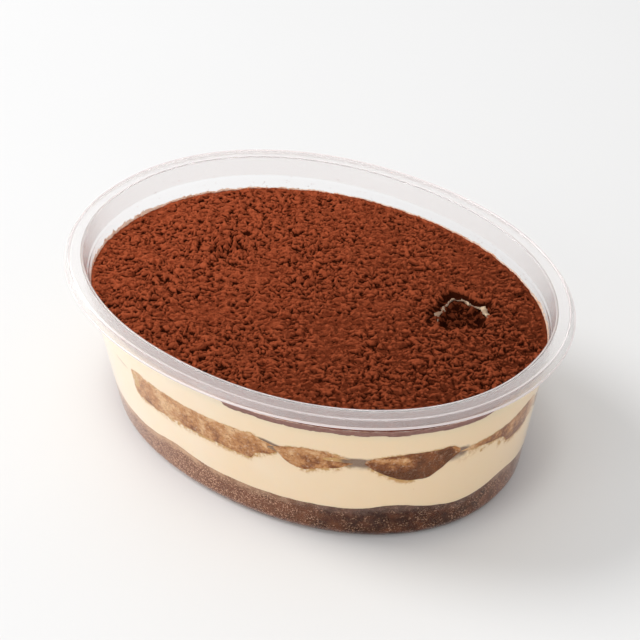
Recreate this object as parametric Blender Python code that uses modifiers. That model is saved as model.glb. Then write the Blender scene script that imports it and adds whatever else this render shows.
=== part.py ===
"""Tiramisu served in its own clear oval tub, open at the top.

From the floor up: a dark soaked sponge base, a layer of cream, soaked ladyfingers lying side by side, a
second layer of cream and a dusting of cocoa with one torn dent. X is the tub's long axis, -Y its front, and
the origin is the middle of the tub's footprint, on the surface that it stands on. All lengths are metres.
"""

import math

import bmesh
import bpy
from mathutils import Matrix

# Tub, measured over the rim
TUB_LENGTH = 0.185
TUB_WIDTH = 0.1425
TUB_HEIGHT = 0.0615
OVAL_POWER = 2.1
SEGMENTS = 48
SHEET = 0.0007

# Rim: a flared skirt, a flat land for a lid and a shallow seat inside it
SKIRT_FLARE = 0.0016
SKIRT_DROP = 0.0027
LAND_WIDTH = 0.0042
EDGE_ROUND = 0.00035
SEAT_DRAFT = 0.001
SEAT_HEIGHT = 0.0540
LEDGE_WIDTH = 0.0009
LEDGE_DROP = 0.0007

# Wall, foot ring and raised bottom panel
WALL_TOP = 0.0528
WALL_BOTTOM = 0.0030
WALL_TOP_INSET = 0.0080
WALL_DRAFT = 0.0070
CORNER_RUN = 0.0016
FOOT_WIDTH = 0.0032
PANEL_RISE = 0.0010
PANEL_STEP = 0.0010

# Food
GAP = 0.0003
BASE_TOP = 0.0142
CREAM_SEAM = 0.0355
COCOA_TOP = 0.0504
COCOA_THICKNESS = 0.0010

# Swells and hollows in the top of the base: x, y, rise, radius
BASE_SHARES = (1.0, 0.90, 0.72, 0.40)
BASE_SWELLS = (
    (-0.014, -0.057, 0.0026, 0.010),
    (0.061, -0.037, 0.0024, 0.009),
    (0.079, -0.003, 0.0016, 0.008),
    (0.074, -0.020, -0.0012, 0.010),
    (-0.058, -0.038, 0.0012, 0.012),
    (0.020, 0.055, 0.0022, 0.011),
    (-0.055, 0.036, 0.0018, 0.012),
    (-0.078, 0.004, -0.0010, 0.010),
)

# Torn dent in the cocoa
PIT_X = 0.0460
PIT_Y = 0.0225
PIT_RADIUS = 0.0092
PIT_DEPTH = 0.0034
PIT_SHARES = (0.35, 0.72, 0.90, 1.05, 1.30)
FIELD_SHARES = (0.30, 0.62, 0.86, 1.0)

# Ladyfingers: name, x from and to, y from and to, middle height, thickness, rise along X per metre
FINGERS = (
    ("finger_front_long", -0.0350, 0.0225, -0.0660, -0.0465, 0.0347, 0.0122, 0.005),
    ("finger_front_short", 0.0262, 0.0560, -0.0650, -0.0466, 0.0356, 0.0102, 0.0),
    ("finger_row_two", -0.0580, 0.0950, -0.0448, -0.0245, 0.0342, 0.0136, 0.004),
    ("finger_row_three", -0.0620, 0.0960, -0.0130, 0.0095, 0.0352, 0.0112, 0.008),
    ("finger_row_four", -0.0900, 0.0950, 0.0125, 0.0345, 0.0350, 0.0118, -0.006),
    ("finger_back_short", 0.0120, 0.0540, 0.0372, 0.0650, 0.0354, 0.0112, 0.0),
    ("finger_back_long", -0.0560, 0.0080, 0.0368, 0.0660, 0.0346, 0.0120, -0.004),
)
FINGER_POWER = 2.6
FINGER_SIDES = 14
FINGER_STEPS = 9

# Colour, roughness and transmission
FINISHES = {
    "clear_plastic": ((0.95, 0.95, 0.96), 0.05, 1.0),
    "soaked_base": ((0.115, 0.055, 0.030), 0.60, 0.0),
    "cream": ((0.80, 0.66, 0.45), 0.45, 0.0),
    "soaked_finger": ((0.40, 0.215, 0.095), 0.60, 0.0),
    "cocoa": ((0.135, 0.036, 0.012), 0.95, 0.0),
}


def clear_scene():
    """Remove every object, so that the part starts from nothing."""
    for obj in list(bpy.data.objects):
        bpy.data.objects.remove(obj, do_unlink=True)


def new_collection(name):
    """Make a collection and link it to the scene."""
    collection = bpy.data.collections.new(name)
    bpy.context.scene.collection.children.link(collection)
    return collection


def finish(name):
    """Return the material of this name, made once."""
    material = bpy.data.materials.get(name)
    if material:
        return material
    color, roughness, transmission = FINISHES[name]
    material = bpy.data.materials.new(name)
    material.use_nodes = True
    shader = material.node_tree.nodes["Principled BSDF"]
    shader.inputs["Base Color"].default_value = (*color, 1.0)
    shader.inputs["Roughness"].default_value = roughness
    shader.inputs["Transmission Weight"].default_value = transmission
    return material


def add_object(name, mesh_data, collection, material_name):
    """Turn a bmesh into an object with smooth round faces and its material."""
    mesh = bpy.data.meshes.new(name)
    mesh_data.to_mesh(mesh)
    mesh_data.free()
    mesh.materials.append(finish(material_name))
    mesh.shade_smooth()
    mesh.set_sharp_from_angle(angle=math.radians(40))
    obj = bpy.data.objects.new(name, mesh)
    collection.objects.link(obj)
    return obj


def superellipse(half_x, half_y, turn):
    """Return the point of the oval with these half axes at an angle."""
    cosine = math.cos(turn)
    sine = math.sin(turn)
    power = 2.0 / OVAL_POWER
    x = half_x * math.copysign(abs(cosine) ** power, cosine)
    y = half_y * math.copysign(abs(sine) ** power, sine)
    return x, y


def oval(inset):
    """Return the outline that lies this far inside the rim's outermost edge."""
    half_x = TUB_LENGTH / 2 - inset
    half_y = TUB_WIDTH / 2 - inset
    return [superellipse(half_x, half_y, 2 * math.pi * k / SEGMENTS) for k in range(SEGMENTS)]


def wall_inset(z):
    """Return how far inside the rim the wall's inner face is at a height."""
    return WALL_TOP_INSET + WALL_DRAFT * (WALL_TOP - z) / (WALL_TOP - WALL_BOTTOM)


def level_ring(inset, z):
    """Return a horizontal oval ring."""
    return [(x, y, z) for x, y in oval(inset)]


def wall_outline(height, near_z):
    """Return the outline just inside the wall where a surface, given as a height function, meets it."""
    outline = []
    for k, (x, y) in enumerate(oval(wall_inset(near_z) + GAP)):
        inset = wall_inset(height(x, y)) + GAP
        turn = 2 * math.pi * k / SEGMENTS
        outline.append(superellipse(TUB_LENGTH / 2 - inset, TUB_WIDTH / 2 - inset, turn))
    return outline


def laid(outlines, height):
    """Return the outlines as rings that lie on a surface."""
    return [[(x, y, height(x, y)) for x, y in outline] for outline in outlines]


def split_quad(mesh, corners):
    """Fill four corners with two triangles that meet along the higher diagonal."""
    a, b, c, d = corners
    if a.co.z + c.co.z >= b.co.z + d.co.z:
        mesh.faces.new((a, b, c))
        mesh.faces.new((a, c, d))
    else:
        mesh.faces.new((a, b, d))
        mesh.faces.new((b, c, d))


def skin(rings, start=None, end=None):
    """Join equal rings with triangles, and close each end with a fan to a point where one is given."""
    mesh = bmesh.new()
    loops = [[mesh.verts.new(point) for point in ring] for ring in rings]
    for lower, upper in zip(loops, loops[1:]):
        for k in range(SEGMENTS):
            after = (k + 1) % SEGMENTS
            split_quad(mesh, (lower[k], lower[after], upper[after], upper[k]))
    if start:
        centre = mesh.verts.new(start)
        for k in range(SEGMENTS):
            mesh.faces.new((centre, loops[0][(k + 1) % SEGMENTS], loops[0][k]))
    if end:
        centre = mesh.verts.new(end)
        for k in range(SEGMENTS):
            mesh.faces.new((centre, loops[-1][k], loops[-1][(k + 1) % SEGMENTS]))
    bmesh.ops.recalc_face_normals(mesh, faces=mesh.faces[:])
    return mesh


def base_height(x, y):
    """Return the top of the soaked base: level, with soft swells."""
    z = BASE_TOP
    for swell_x, swell_y, rise, radius in BASE_SWELLS:
        distance = math.hypot(x - swell_x, y - swell_y)
        z += rise * math.exp(-((distance / radius) ** 2))
    return z


def cream_floor(x, y):
    """Return the underside of the lower cream, just clear of the base."""
    return base_height(x, y) + GAP


def pit_depth(x, y):
    """Return how far the torn dent sinks the surface, as a smooth step at its edge."""
    distance = math.hypot(x - PIT_X, y - PIT_Y) / PIT_RADIUS
    share = min(max((1.12 - distance) / 0.45, 0.0), 1.0)
    return PIT_DEPTH * share * share * (3 - 2 * share)


def cocoa_height(x, y):
    """Return the top of the cocoa: a low crown along X, a slight tilt and the dent."""
    along = x / (TUB_LENGTH / 2)
    across = y / (TUB_WIDTH / 2)
    crown = COCOA_TOP - 0.0022 * along**2 + 0.0005 * along - 0.0006 * across
    return crown + 0.0008 * along * across - pit_depth(x, y)


def cocoa_floor(x, y):
    """Return the underside of the cocoa."""
    return cocoa_height(x, y) - COCOA_THICKNESS


def cream_top(x, y):
    """Return the top of the upper cream, just clear of the cocoa."""
    return cocoa_floor(x, y) - GAP


def base_outlines():
    """Return outlines from the wall to near the middle of the base's top."""
    outer = wall_outline(base_height, BASE_TOP)
    return [[(x * share, y * share) for x, y in outer] for share in BASE_SHARES]


def dented_outlines():
    """Return outlines from the dent's middle out to the wall."""
    outer = wall_outline(cream_top, COCOA_TOP)
    turns = [math.atan2(y - PIT_Y, x - PIT_X) for x, y in outer]
    outlines = []
    for share in PIT_SHARES:
        radius = share * PIT_RADIUS
        outlines.append([(PIT_X + radius * math.cos(turn), PIT_Y + radius * math.sin(turn)) for turn in turns])
    edge = outlines[-1]
    for share in FIELD_SHARES:
        pairs = zip(edge, outer)
        outlines.append([(a + (c - a) * share, b + (d - b) * share) for (a, b), (c, d) in pairs])
    return outlines


def build_tub(parts):
    """Make the tub: one sheet from the middle of its floor to the edge of its skirt, then thickened."""
    land_end = SKIRT_FLARE + LAND_WIDTH
    seat_end = land_end + SEAT_DRAFT
    wall_foot = WALL_TOP_INSET + WALL_DRAFT
    ring_start = wall_foot + CORNER_RUN
    ring_end = ring_start + FOOT_WIDTH
    profile = (
        (TUB_WIDTH * 0.35, SHEET + PANEL_RISE),
        (ring_end + PANEL_STEP, SHEET + PANEL_RISE),
        (ring_end, SHEET),
        (ring_start, SHEET),
        (wall_foot + 0.35 * CORNER_RUN, SHEET + 0.22 * WALL_BOTTOM),
        (wall_foot, WALL_BOTTOM),
        (wall_inset(CREAM_SEAM), CREAM_SEAM),
        (WALL_TOP_INSET, WALL_TOP),
        (seat_end + LEDGE_WIDTH * 0.8, SEAT_HEIGHT - LEDGE_DROP),
        (seat_end, SEAT_HEIGHT),
        (land_end + 2 * EDGE_ROUND / 3, TUB_HEIGHT - EDGE_ROUND),
        (land_end - EDGE_ROUND, TUB_HEIGHT),
        (SKIRT_FLARE + EDGE_ROUND, TUB_HEIGHT),
        (SKIRT_FLARE - EDGE_ROUND / 2, TUB_HEIGHT - EDGE_ROUND),
        (0.0, TUB_HEIGHT - SKIRT_DROP),
    )
    rings = [level_ring(inset, z) for inset, z in profile]
    sheet = skin(rings, start=(0.0, 0.0, SHEET + PANEL_RISE))
    up = sum(face.normal.z * face.calc_area() for face in sheet.faces)
    if up < 0:
        bmesh.ops.reverse_faces(sheet, faces=sheet.faces[:])
    tub = add_object("tub", sheet, parts, "clear_plastic")
    wall = tub.modifiers.new("wall", "SOLIDIFY")
    wall.thickness = SHEET
    wall.solidify_mode = "NON_MANIFOLD"
    wall.nonmanifold_thickness_mode = "CONSTRAINTS"
    wall.offset = -1.0
    return tub


def build_base(parts):
    """Make the soaked base, which also fills the groove over the foot ring."""
    wall_foot = WALL_TOP_INSET + WALL_DRAFT
    ring_start = wall_foot + CORNER_RUN
    ring_end = ring_start + FOOT_WIDTH
    floor = SHEET + PANEL_RISE + GAP
    rings = [
        level_ring(ring_end + PANEL_STEP + GAP, floor),
        level_ring(ring_end + GAP / 2, SHEET + GAP),
        level_ring(ring_start + GAP, SHEET + GAP),
        level_ring(wall_foot + GAP, WALL_BOTTOM),
        *laid(base_outlines(), base_height),
    ]
    top = (0.0, 0.0, base_height(0.0, 0.0))
    return add_object("sponge_base", skin(rings, (0.0, 0.0, floor), top), parts, "soaked_base")


def build_finger_mesh(start_x, end_x, start_y, end_y, middle, thickness, rise, grow):
    """Make a soaked ladyfinger: a sphere squared off into a long rounded bar, lying along X."""
    mesh = bmesh.new()
    bmesh.ops.create_uvsphere(mesh, u_segments=FINGER_SIDES, v_segments=FINGER_STEPS, radius=1.0)
    bmesh.ops.rotate(mesh, verts=mesh.verts[:], matrix=Matrix.Rotation(math.pi / 2, 3, "Y"))
    half = ((end_x - start_x) / 2 + grow, (end_y - start_y) / 2 + grow, thickness / 2 + grow)
    power = 2.0 / FINGER_POWER
    for vert in mesh.verts:
        for axis in range(3):
            value = vert.co[axis]
            vert.co[axis] = half[axis] * math.copysign(abs(value) ** power, value)
        vert.co.z += middle + rise * vert.co.x
        vert.co.x += (start_x + end_x) / 2
        vert.co.y += (start_y + end_y) / 2
    return mesh


def build_cavity(cutters):
    """Make the space inside the wall that food can take up, as a cutter."""
    low = WALL_BOTTOM
    high = TUB_HEIGHT
    rings = [level_ring(wall_inset(low) + GAP, low), level_ring(wall_inset(high) + GAP, high)]
    cavity = add_object("cavity", skin(rings, (0.0, 0.0, low), (0.0, 0.0, high)), cutters, "cream")
    return cavity


def cut(obj, cutter, operation):
    """Add an exact Boolean to an object."""
    modifier = obj.modifiers.new(f"{operation.lower()}_{cutter.name}", "BOOLEAN")
    modifier.operation = operation
    modifier.solver = "EXACT"
    modifier.object = cutter


def build_fingers(parts, cutters):
    """Make each ladyfinger, trimmed by the wall, and a slightly larger cutter for the cream."""
    cavity = build_cavity(cutters)
    finger_cutters = []
    for name, *sizes in FINGERS:
        finger = add_object(name, build_finger_mesh(*sizes, 0.0), parts, "soaked_finger")
        cut(finger, cavity, "INTERSECT")
        cutter = add_object(f"{name}_cutter", build_finger_mesh(*sizes, GAP), cutters, "cream")
        finger_cutters.append(cutter)
    return finger_cutters


def build_lower_cream(parts, finger_cutters):
    """Make the lower cream, from the base up to the middle of the ladyfingers."""
    seam = CREAM_SEAM - GAP / 2
    rings = [*laid(reversed(base_outlines()), cream_floor), level_ring(wall_inset(seam) + GAP, seam)]
    start = (0.0, 0.0, cream_floor(0.0, 0.0))
    cream = add_object("cream_lower", skin(rings, start, (0.0, 0.0, seam)), parts, "cream")
    for cutter in finger_cutters:
        cut(cream, cutter, "DIFFERENCE")
    return cream


def build_upper_cream(parts, finger_cutters):
    """Make the upper cream, from the middle of the ladyfingers up to the cocoa."""
    seam = CREAM_SEAM + GAP / 2
    rings = [level_ring(wall_inset(seam) + GAP, seam), *laid(reversed(dented_outlines()), cream_top)]
    end = (PIT_X, PIT_Y, cream_top(PIT_X, PIT_Y))
    cream = add_object("cream_upper", skin(rings, (0.0, 0.0, seam), end), parts, "cream")
    for cutter in finger_cutters:
        cut(cream, cutter, "DIFFERENCE")
    return cream


def build_cocoa(parts):
    """Make the cocoa: a thin layer that follows the cream's crown and dent."""
    outlines = dented_outlines()
    under = laid(outlines, cocoa_floor)
    over = laid(reversed(outlines), cocoa_height)
    start = (PIT_X, PIT_Y, cocoa_floor(PIT_X, PIT_Y))
    end = (PIT_X, PIT_Y, cocoa_height(PIT_X, PIT_Y))
    return add_object("cocoa_dusting", skin([*under, *over], start, end), parts, "cocoa")


def main():
    """Build the tub and its layers from the floor up."""
    clear_scene()
    parts = new_collection("tiramisu")
    cutters = new_collection("cutters")
    build_tub(parts)
    build_base(parts)
    finger_cutters = build_fingers(parts, cutters)
    build_lower_cream(parts, finger_cutters)
    build_upper_cream(parts, finger_cutters)
    build_cocoa(parts)
    for cutter in cutters.objects:
        cutter.hide_render = True
        cutter.display_type = "WIRE"
    cutters.hide_render = True


main()
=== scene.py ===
"""Looks of a tiramisu in its own clear oval tub: soaked base, cream, ladyfingers, cream and cocoa.

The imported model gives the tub's box; every piece below is worked out from that box and from the sizes of the
classes. Lengths are metres unless a docstring says millimetres. X is the tub's long axis, -Y its front and Z
is up.
"""

from __future__ import annotations

import logging
import math
import sys
from collections.abc import Iterator
from dataclasses import dataclass, field
from enum import Enum
from itertools import combinations

import bpy
import numpy as np
from mathutils import Matrix, Vector


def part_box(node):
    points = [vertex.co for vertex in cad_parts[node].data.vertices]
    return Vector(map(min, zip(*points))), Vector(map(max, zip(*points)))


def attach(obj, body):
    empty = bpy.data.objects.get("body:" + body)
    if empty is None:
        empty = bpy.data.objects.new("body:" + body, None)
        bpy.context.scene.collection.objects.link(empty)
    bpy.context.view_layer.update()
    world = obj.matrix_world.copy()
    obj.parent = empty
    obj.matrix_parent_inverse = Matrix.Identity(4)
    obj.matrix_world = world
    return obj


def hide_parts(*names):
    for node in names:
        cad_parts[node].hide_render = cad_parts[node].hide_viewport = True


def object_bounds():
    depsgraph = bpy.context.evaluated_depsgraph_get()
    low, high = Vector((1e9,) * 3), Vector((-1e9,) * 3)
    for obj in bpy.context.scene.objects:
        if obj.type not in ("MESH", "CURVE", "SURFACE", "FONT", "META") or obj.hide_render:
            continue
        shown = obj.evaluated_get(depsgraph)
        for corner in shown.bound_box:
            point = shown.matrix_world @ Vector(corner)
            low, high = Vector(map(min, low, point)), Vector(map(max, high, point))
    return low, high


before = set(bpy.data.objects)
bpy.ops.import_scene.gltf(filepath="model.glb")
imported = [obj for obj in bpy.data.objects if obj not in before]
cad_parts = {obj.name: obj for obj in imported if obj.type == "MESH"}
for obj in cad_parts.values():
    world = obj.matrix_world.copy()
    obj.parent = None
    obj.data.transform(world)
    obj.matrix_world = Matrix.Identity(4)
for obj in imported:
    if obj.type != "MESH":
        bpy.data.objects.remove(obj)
CAD_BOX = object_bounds()

Array = np.ndarray
Piece = bpy.types.Object
Socket = bpy.types.NodeSocket
Triple = tuple[float, float, float]
LOG = logging.getLogger("tiramisu")
MM = 0.001
BODY = "root"


class Slot(Enum):
    """Material slots of the record."""

    TUB = "tub"
    BASE = "soaked_base"
    CREAM = "cream"
    FINGER = "ladyfinger"
    COCOA = "cocoa"


# ------------------------------ number fields


def cell_value(column: Array, row: Array, seed: int) -> Array:
    """Return a repeatable random number for each lattice cell.

    The cell's two whole numbers and the seed are mixed by multiplying with large primes and shifting bits.

    Args:
        column: Whole numbers along the first axis.
        row: Whole numbers along the second axis.
        seed: Picks one field of numbers.

    Returns:
        Numbers from 0 to 1, one for each cell.
    """
    mask = 0xFFFFFFFF
    mixed = (column * 374761393 + row * 668265263 + seed * 1442695041) & mask
    mixed = ((mixed ^ (mixed >> 13)) * 1274126177) & mask
    mixed = ((mixed ^ (mixed >> 15)) * 1103515245) & mask
    return (mixed ^ (mixed >> 16)) / mask


def lattice(x: Array, y: Array, cell: float) -> tuple[Array, Array]:
    """Return the two whole numbers of the lattice cell that each place lies in."""
    return np.floor(x / cell).astype(np.int64), np.floor(y / cell).astype(np.int64)


def cells_round(x: Array, y: Array, cell: float) -> Iterator[tuple[Array, Array]]:
    """Go through the lattice cell that each place lies in and its eight neighbours.

    Args:
        x, y: Places.
        cell: Lattice spacing.

    Yields:
        The two whole numbers of one of the nine cells, for every place.
    """
    column, row = lattice(x, y, cell)
    for step_x in (-1, 0, 1):
        for step_y in (-1, 0, 1):
            yield column + step_x, row + step_y


def soft_noise(x: Array, y: Array, cell: float, seed: int) -> Array:
    """Return a smooth random field.

    Each lattice corner has a random value; between corners they are mixed with the weight 3w^2 - 2w^3.

    Args:
        x, y: Places.
        cell: Lattice spacing, which is about the size of a feature.
        seed: Picks one field.

    Returns:
        Values from -1 to 1.
    """
    column, row = lattice(x, y, cell)
    u = x / cell - column
    v = y / cell - row
    u = u * u * (3 - 2 * u)
    v = v * v * (3 - 2 * v)
    near = cell_value(column, row, seed) * (1 - u) + cell_value(column + 1, row, seed) * u
    far = cell_value(column, row + 1, seed) * (1 - u) + cell_value(column + 1, row + 1, seed) * u
    return (near * (1 - v) + far * v) * 2 - 1


def layered_noise(x: Array, y: Array, cell: float, layers: int, seed: int) -> Array:
    """Return soft noise with finer layers on it, each half as wide and half as strong as the one before.

    Args:
        x, y: Places.
        cell: Feature size of the widest layer.
        layers: How many layers are added.
        seed: Picks one field.

    Returns:
        Values from about -1 to 1.
    """
    total = np.zeros(np.broadcast(x, y).shape)
    for layer in range(layers):
        total = total + soft_noise(x, y, cell / 2**layer, seed + layer) / 2**layer
    return total / (2 - 2.0 ** (1 - layers))


@dataclass(frozen=True)
class Bumps:
    """Round bumps of random size at random places, one or none in each lattice cell.

    A bump's height is (1 - d^2)^power, with d the distance to its middle over its radius, times a random
    strength. A power under 1 makes a dome with steep sides.
    """

    cell: float
    smallest: float
    largest: float
    share: float
    seed: int
    power: float = 1.0

    def height(self, x: Array, y: Array) -> Array:
        """Return the height of the highest bump over each place.

        Args:
            x, y: Places.

        Returns:
            Heights from 0 to 1.
        """
        total = np.zeros(np.broadcast(x, y).shape)
        for here in cells_round(x, y, self.cell):
            middle_x = (here[0] + cell_value(*here, self.seed)) * self.cell
            middle_y = (here[1] + cell_value(*here, self.seed + 1)) * self.cell
            radius = self.smallest + (self.largest - self.smallest) * cell_value(*here, self.seed + 2)
            pick = cell_value(*here, self.seed + 3)
            strength = np.where(pick < self.share, 0.45 + 0.55 * pick / self.share, 0.0)
            distance = ((x - middle_x) ** 2 + (y - middle_y) ** 2) / radius**2
            total = np.maximum(total, strength * np.clip(1 - distance, 0, 1) ** self.power)
        return total


@dataclass(frozen=True)
class Cobbles:
    """A surface broken into tilted lumps, one round each of a lattice's scattered points.

    A place takes the tilted plane of the point nearest to it. In cracked places a crease runs between lumps.
    """

    cell: float
    lift: float
    crease: float
    seed: int
    tilt: float = 1.6

    def height(self, x: Array, y: Array, cracked: Array) -> Array:
        """Return the lumps' height, less a crease where the nearest two points are about as near.

        Args:
            x, y: Places.
            cracked: How cracked each place is, from 0 to 1.

        Returns:
            Heights in the unit of lift and crease.
        """
        nearest = np.full(np.broadcast(x, y).shape, 9.0)
        second = nearest.copy()
        height = np.zeros(nearest.shape)
        for here in cells_round(x, y, self.cell):
            off_x = x / self.cell - here[0] - cell_value(*here, self.seed)
            off_y = y / self.cell - here[1] - cell_value(*here, self.seed + 1)
            away = np.hypot(off_x, off_y)
            plane = 2 * cell_value(*here, self.seed + 2) - 1
            plane = plane + self.tilt * off_x * (2 * cell_value(*here, self.seed + 3) - 1)
            plane = plane + self.tilt * off_y * (2 * cell_value(*here, self.seed + 4) - 1)
            closer = away < nearest
            second = np.where(closer, nearest, np.minimum(second, away))
            height = np.where(closer, plane, height)
            nearest = np.where(closer, away, nearest)
        border = 1 - smooth_step(second - nearest, 0.03, 0.36)
        return self.lift * height - self.crease * cracked * border


@dataclass(frozen=True)
class Ripple:
    """One size of unevenness: its lift where the surface is smooth, and what full roughness adds to that."""

    size: float
    lift: float
    rough_lift: float
    seed: int
    squeeze: float = 1.0

    def height(self, along: Array, across: Array, rough: Array) -> Array:
        """Return soft noise times the lift, drawn out along the first axis by one over the squeeze."""
        noise = soft_noise(self.squeeze * along, across, self.size, self.seed)
        return (self.lift + self.rough_lift * rough) * noise


def neighbours_mean(z: Array, reach: int) -> Array:
    """Return the mean over the grid square round each point: a sliding mean along each axis in turn.

    Args:
        z: Values on a grid.
        reach: How many steps the square reaches from its middle.

    Returns:
        The means on the same grid.
    """
    for axis in (0, 1):
        size = z.shape[axis]
        padded = np.pad(z, [(reach, reach) if k == axis else (0, 0) for k in (0, 1)], mode="edge")
        moved = [np.take(padded, np.arange(k, k + size), axis=axis) for k in range(2 * reach + 1)]
        z = np.mean(moved, axis=0)
    return z


def smooth_step(value: Array, low: float, high: float) -> Array:
    """Return 0 below low, 1 above high and a smooth rise between them."""
    share = np.clip((value - low) / (high - low), 0, 1)
    return share * share * (3 - 2 * share)


def squared_off(value: Array, power: float) -> Array:
    """Return a cosine or sine raised to 2 / power with its sign kept, which squares an ellipse off."""
    return np.sign(value) * np.abs(value) ** (2 / power)


def turn_between(turn: Array, other: float) -> Array:
    """Return the angle from another one, from minus to plus half a turn."""
    return np.angle(np.exp(1j * (turn - other)))


def full_turn(columns: int) -> Array:
    """Return evenly spaced angles round a full turn."""
    return np.arange(columns) * (2 * math.pi / columns)


def rounded_path(corners: list[Triple], steps: int = 6, margin: float = 0.03 * MM) -> Array:
    """Return a path with its corners rounded.

    Each inner corner becomes a quadratic curve between the points one radius before and after it. A point
    just beyond each end of the curve keeps the straight lengths flat when the surface is shaded smooth.

    Args:
        corners: First coordinate, second coordinate and radius of each corner.
        steps: Points on each rounded corner.
        margin: How far beyond the curve the extra points lie.

    Returns:
        The path's points, one a row.
    """
    points = np.array([corner[:2] for corner in corners])
    pieces = [points[:1]]
    share = np.linspace(0, 1, steps)[:, None]
    for before, corner, after, (_, _, radius) in zip(points, points[1:], points[2:], corners[1:]):
        back = (before - corner) / np.linalg.norm(before - corner)
        ahead = (after - corner) / np.linalg.norm(after - corner)
        start = corner + back * radius
        end = corner + ahead * radius
        pieces.append((start + back * margin)[None])
        pieces.append((1 - share) ** 2 * start + 2 * share * (1 - share) * corner + share**2 * end)
        pieces.append((end + ahead * margin)[None])
    last = points[-1] - points[-2]
    pieces.append((points[-1] - margin * last / np.linalg.norm(last))[None])
    pieces.append(points[-1:])
    return np.vstack(pieces)


def offset_path(path: Array, distance: float) -> Array:
    """Return the path moved sideways, each point along the mean normal of the two lengths that meet there.

    Args:
        path: Points, one a row.
        distance: How far to the left of the path's direction.

    Returns:
        The moved points.
    """
    along = np.diff(path, axis=0)
    along = along / np.linalg.norm(along, axis=1, keepdims=True)
    left = np.stack([-along[:, 1], along[:, 0]], axis=1)
    before = np.vstack([left[:1], left])
    mean = before + np.vstack([left, left[-1:]])
    mean = mean / np.linalg.norm(mean, axis=1, keepdims=True)
    stretch = np.sum(mean * before, axis=1, keepdims=True)
    return path + mean * distance / np.maximum(stretch, 0.5)


# ------------------------------ meshes


def new_piece(name: str, points: Array, faces: list[Array]) -> Piece:
    """Make a smooth mesh object whose faces point outwards.

    The signed volume tells whether the faces point inwards: then every face is turned round.

    Args:
        name: The piece's name.
        points: Points, one a row.
        faces: Blocks of faces; in each, a face is a row of point numbers.

    Returns:
        The new object.
    """
    halves = [block[:, [0, k, k + 1]] for block in faces for k in range(1, block.shape[1] - 1)]
    corners = points[np.vstack(halves)]
    volume = np.einsum("ij,ij->i", corners[:, 0], np.cross(corners[:, 1], corners[:, 2])).sum()
    rows = [row for block in faces for row in (block[:, ::-1] if volume < 0 else block).tolist()]
    mesh = bpy.data.meshes.new(name)
    mesh.from_pydata(points.tolist(), [], rows)
    mesh.shade_smooth()
    piece = bpy.data.objects.new(name, mesh)
    bpy.context.scene.collection.objects.link(piece)
    return piece


def grid_faces(rows: int, columns: int) -> Array:
    """Return the quads of an open grid whose points are numbered row by row."""
    number = np.arange(rows * columns).reshape(rows, columns)
    quads = np.stack([number[:-1, :-1], number[1:, :-1], number[1:, 1:], number[:-1, 1:]], axis=-1)
    return quads.reshape(-1, 4)


def ring_faces(rows: int, columns: int, looped: bool = False) -> Array:
    """Return the quads between rings.

    Args:
        rows: How many rings.
        columns: Points on each ring.
        looped: Whether the last ring joins the first one.

    Returns:
        Faces, one a row.
    """
    row, column = np.meshgrid(np.arange(rows if looped else rows - 1), np.arange(columns), indexing="ij")
    after = (column + 1) % columns
    here = row * columns
    above = (row + 1) % rows * columns
    return np.stack([here + column, here + after, above + after, above + column], axis=-1).reshape(-1, 4)


def fan_faces(pole: int, start: int, count: int, forwards: bool) -> Array:
    """Return the triangles between a pole and a ring.

    Args:
        pole: The pole's number.
        start: The number of the ring's first point.
        count: Points on the ring.
        forwards: Whether the triangles turn the way the ring is numbered.

    Returns:
        Faces, one a row.
    """
    here = start + np.arange(count)
    after = np.roll(here, -1)
    ends = (here, after) if forwards else (after, here)
    return np.stack([np.full(count, pole), *ends], axis=-1)


def ringed_piece(name: str, rings: Array, start: Array, end: Array) -> Piece:
    """Make a closed piece from rings with a pole at each end.

    Args:
        name: The piece's name.
        rings: Points in rows of rings, each ring closed on itself.
        start: The pole before the first ring.
        end: The pole after the last ring.

    Returns:
        The new object.
    """
    rows, columns = rings.shape[:2]
    count = rows * columns
    points = np.vstack([rings.reshape(-1, 3), start[None], end[None]])
    first = fan_faces(count, 0, columns, forwards=False)
    last = fan_faces(count + 1, count - columns, columns, forwards=True)
    return new_piece(name, points, [ring_faces(rows, columns), first, last])


def disc_rings(edge: Array, shares: Array) -> Array:
    """Return rings that shrink a level edge towards the Z axis by these shares."""
    scale = np.stack([shares, shares, np.ones_like(shares)], axis=-1)
    return edge[None] * scale[:, None, :]


def store(piece: Piece, name: str, values: Array, poles: tuple[float, ...] = ()) -> None:
    """Keep one number for each point, and for each pole, as an attribute that a material can read."""
    attribute = piece.data.attributes.new(name, "FLOAT", "POINT")
    attribute.data.foreach_set("value", np.append(values.ravel(), poles).astype(np.float32))


def sharpen(piece: Piece, border: Array) -> None:
    """Make the edges between a set of points sharp, so that each side is shaded by its own faces.

    Args:
        piece: The mesh object.
        border: Numbers of the points.
    """
    mesh = piece.data
    ends = np.empty(2 * len(mesh.edges), dtype=np.int32)
    mesh.edges.foreach_get("vertices", ends)
    inside = np.zeros(len(mesh.vertices), dtype=bool)
    inside[border] = True
    sharp = mesh.attributes.new("sharp_edge", "BOOLEAN", "EDGE")
    sharp.data.foreach_set("value", inside[ends.reshape(-1, 2)].all(axis=1))


def dress(piece: Piece, finish: Finish, slot: Slot, *nodes: str) -> Piece:
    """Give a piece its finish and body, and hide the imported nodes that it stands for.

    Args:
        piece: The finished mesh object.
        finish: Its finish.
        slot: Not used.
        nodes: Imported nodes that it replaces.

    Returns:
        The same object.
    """
    piece.data.materials.append(finish.material())
    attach(piece, BODY)
    if nodes:
        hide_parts(*nodes)
    LOG.info("%s: %d points, %d faces", piece.name, len(piece.data.vertices), len(piece.data.polygons))
    return piece


# ------------------------------ finishes


@dataclass(frozen=True)
class Grain:
    """A layered noise: its features in a metre, its finer layers and how strong those are."""

    scale: float
    detail: float = 3.0
    roughness: float = 0.55


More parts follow.
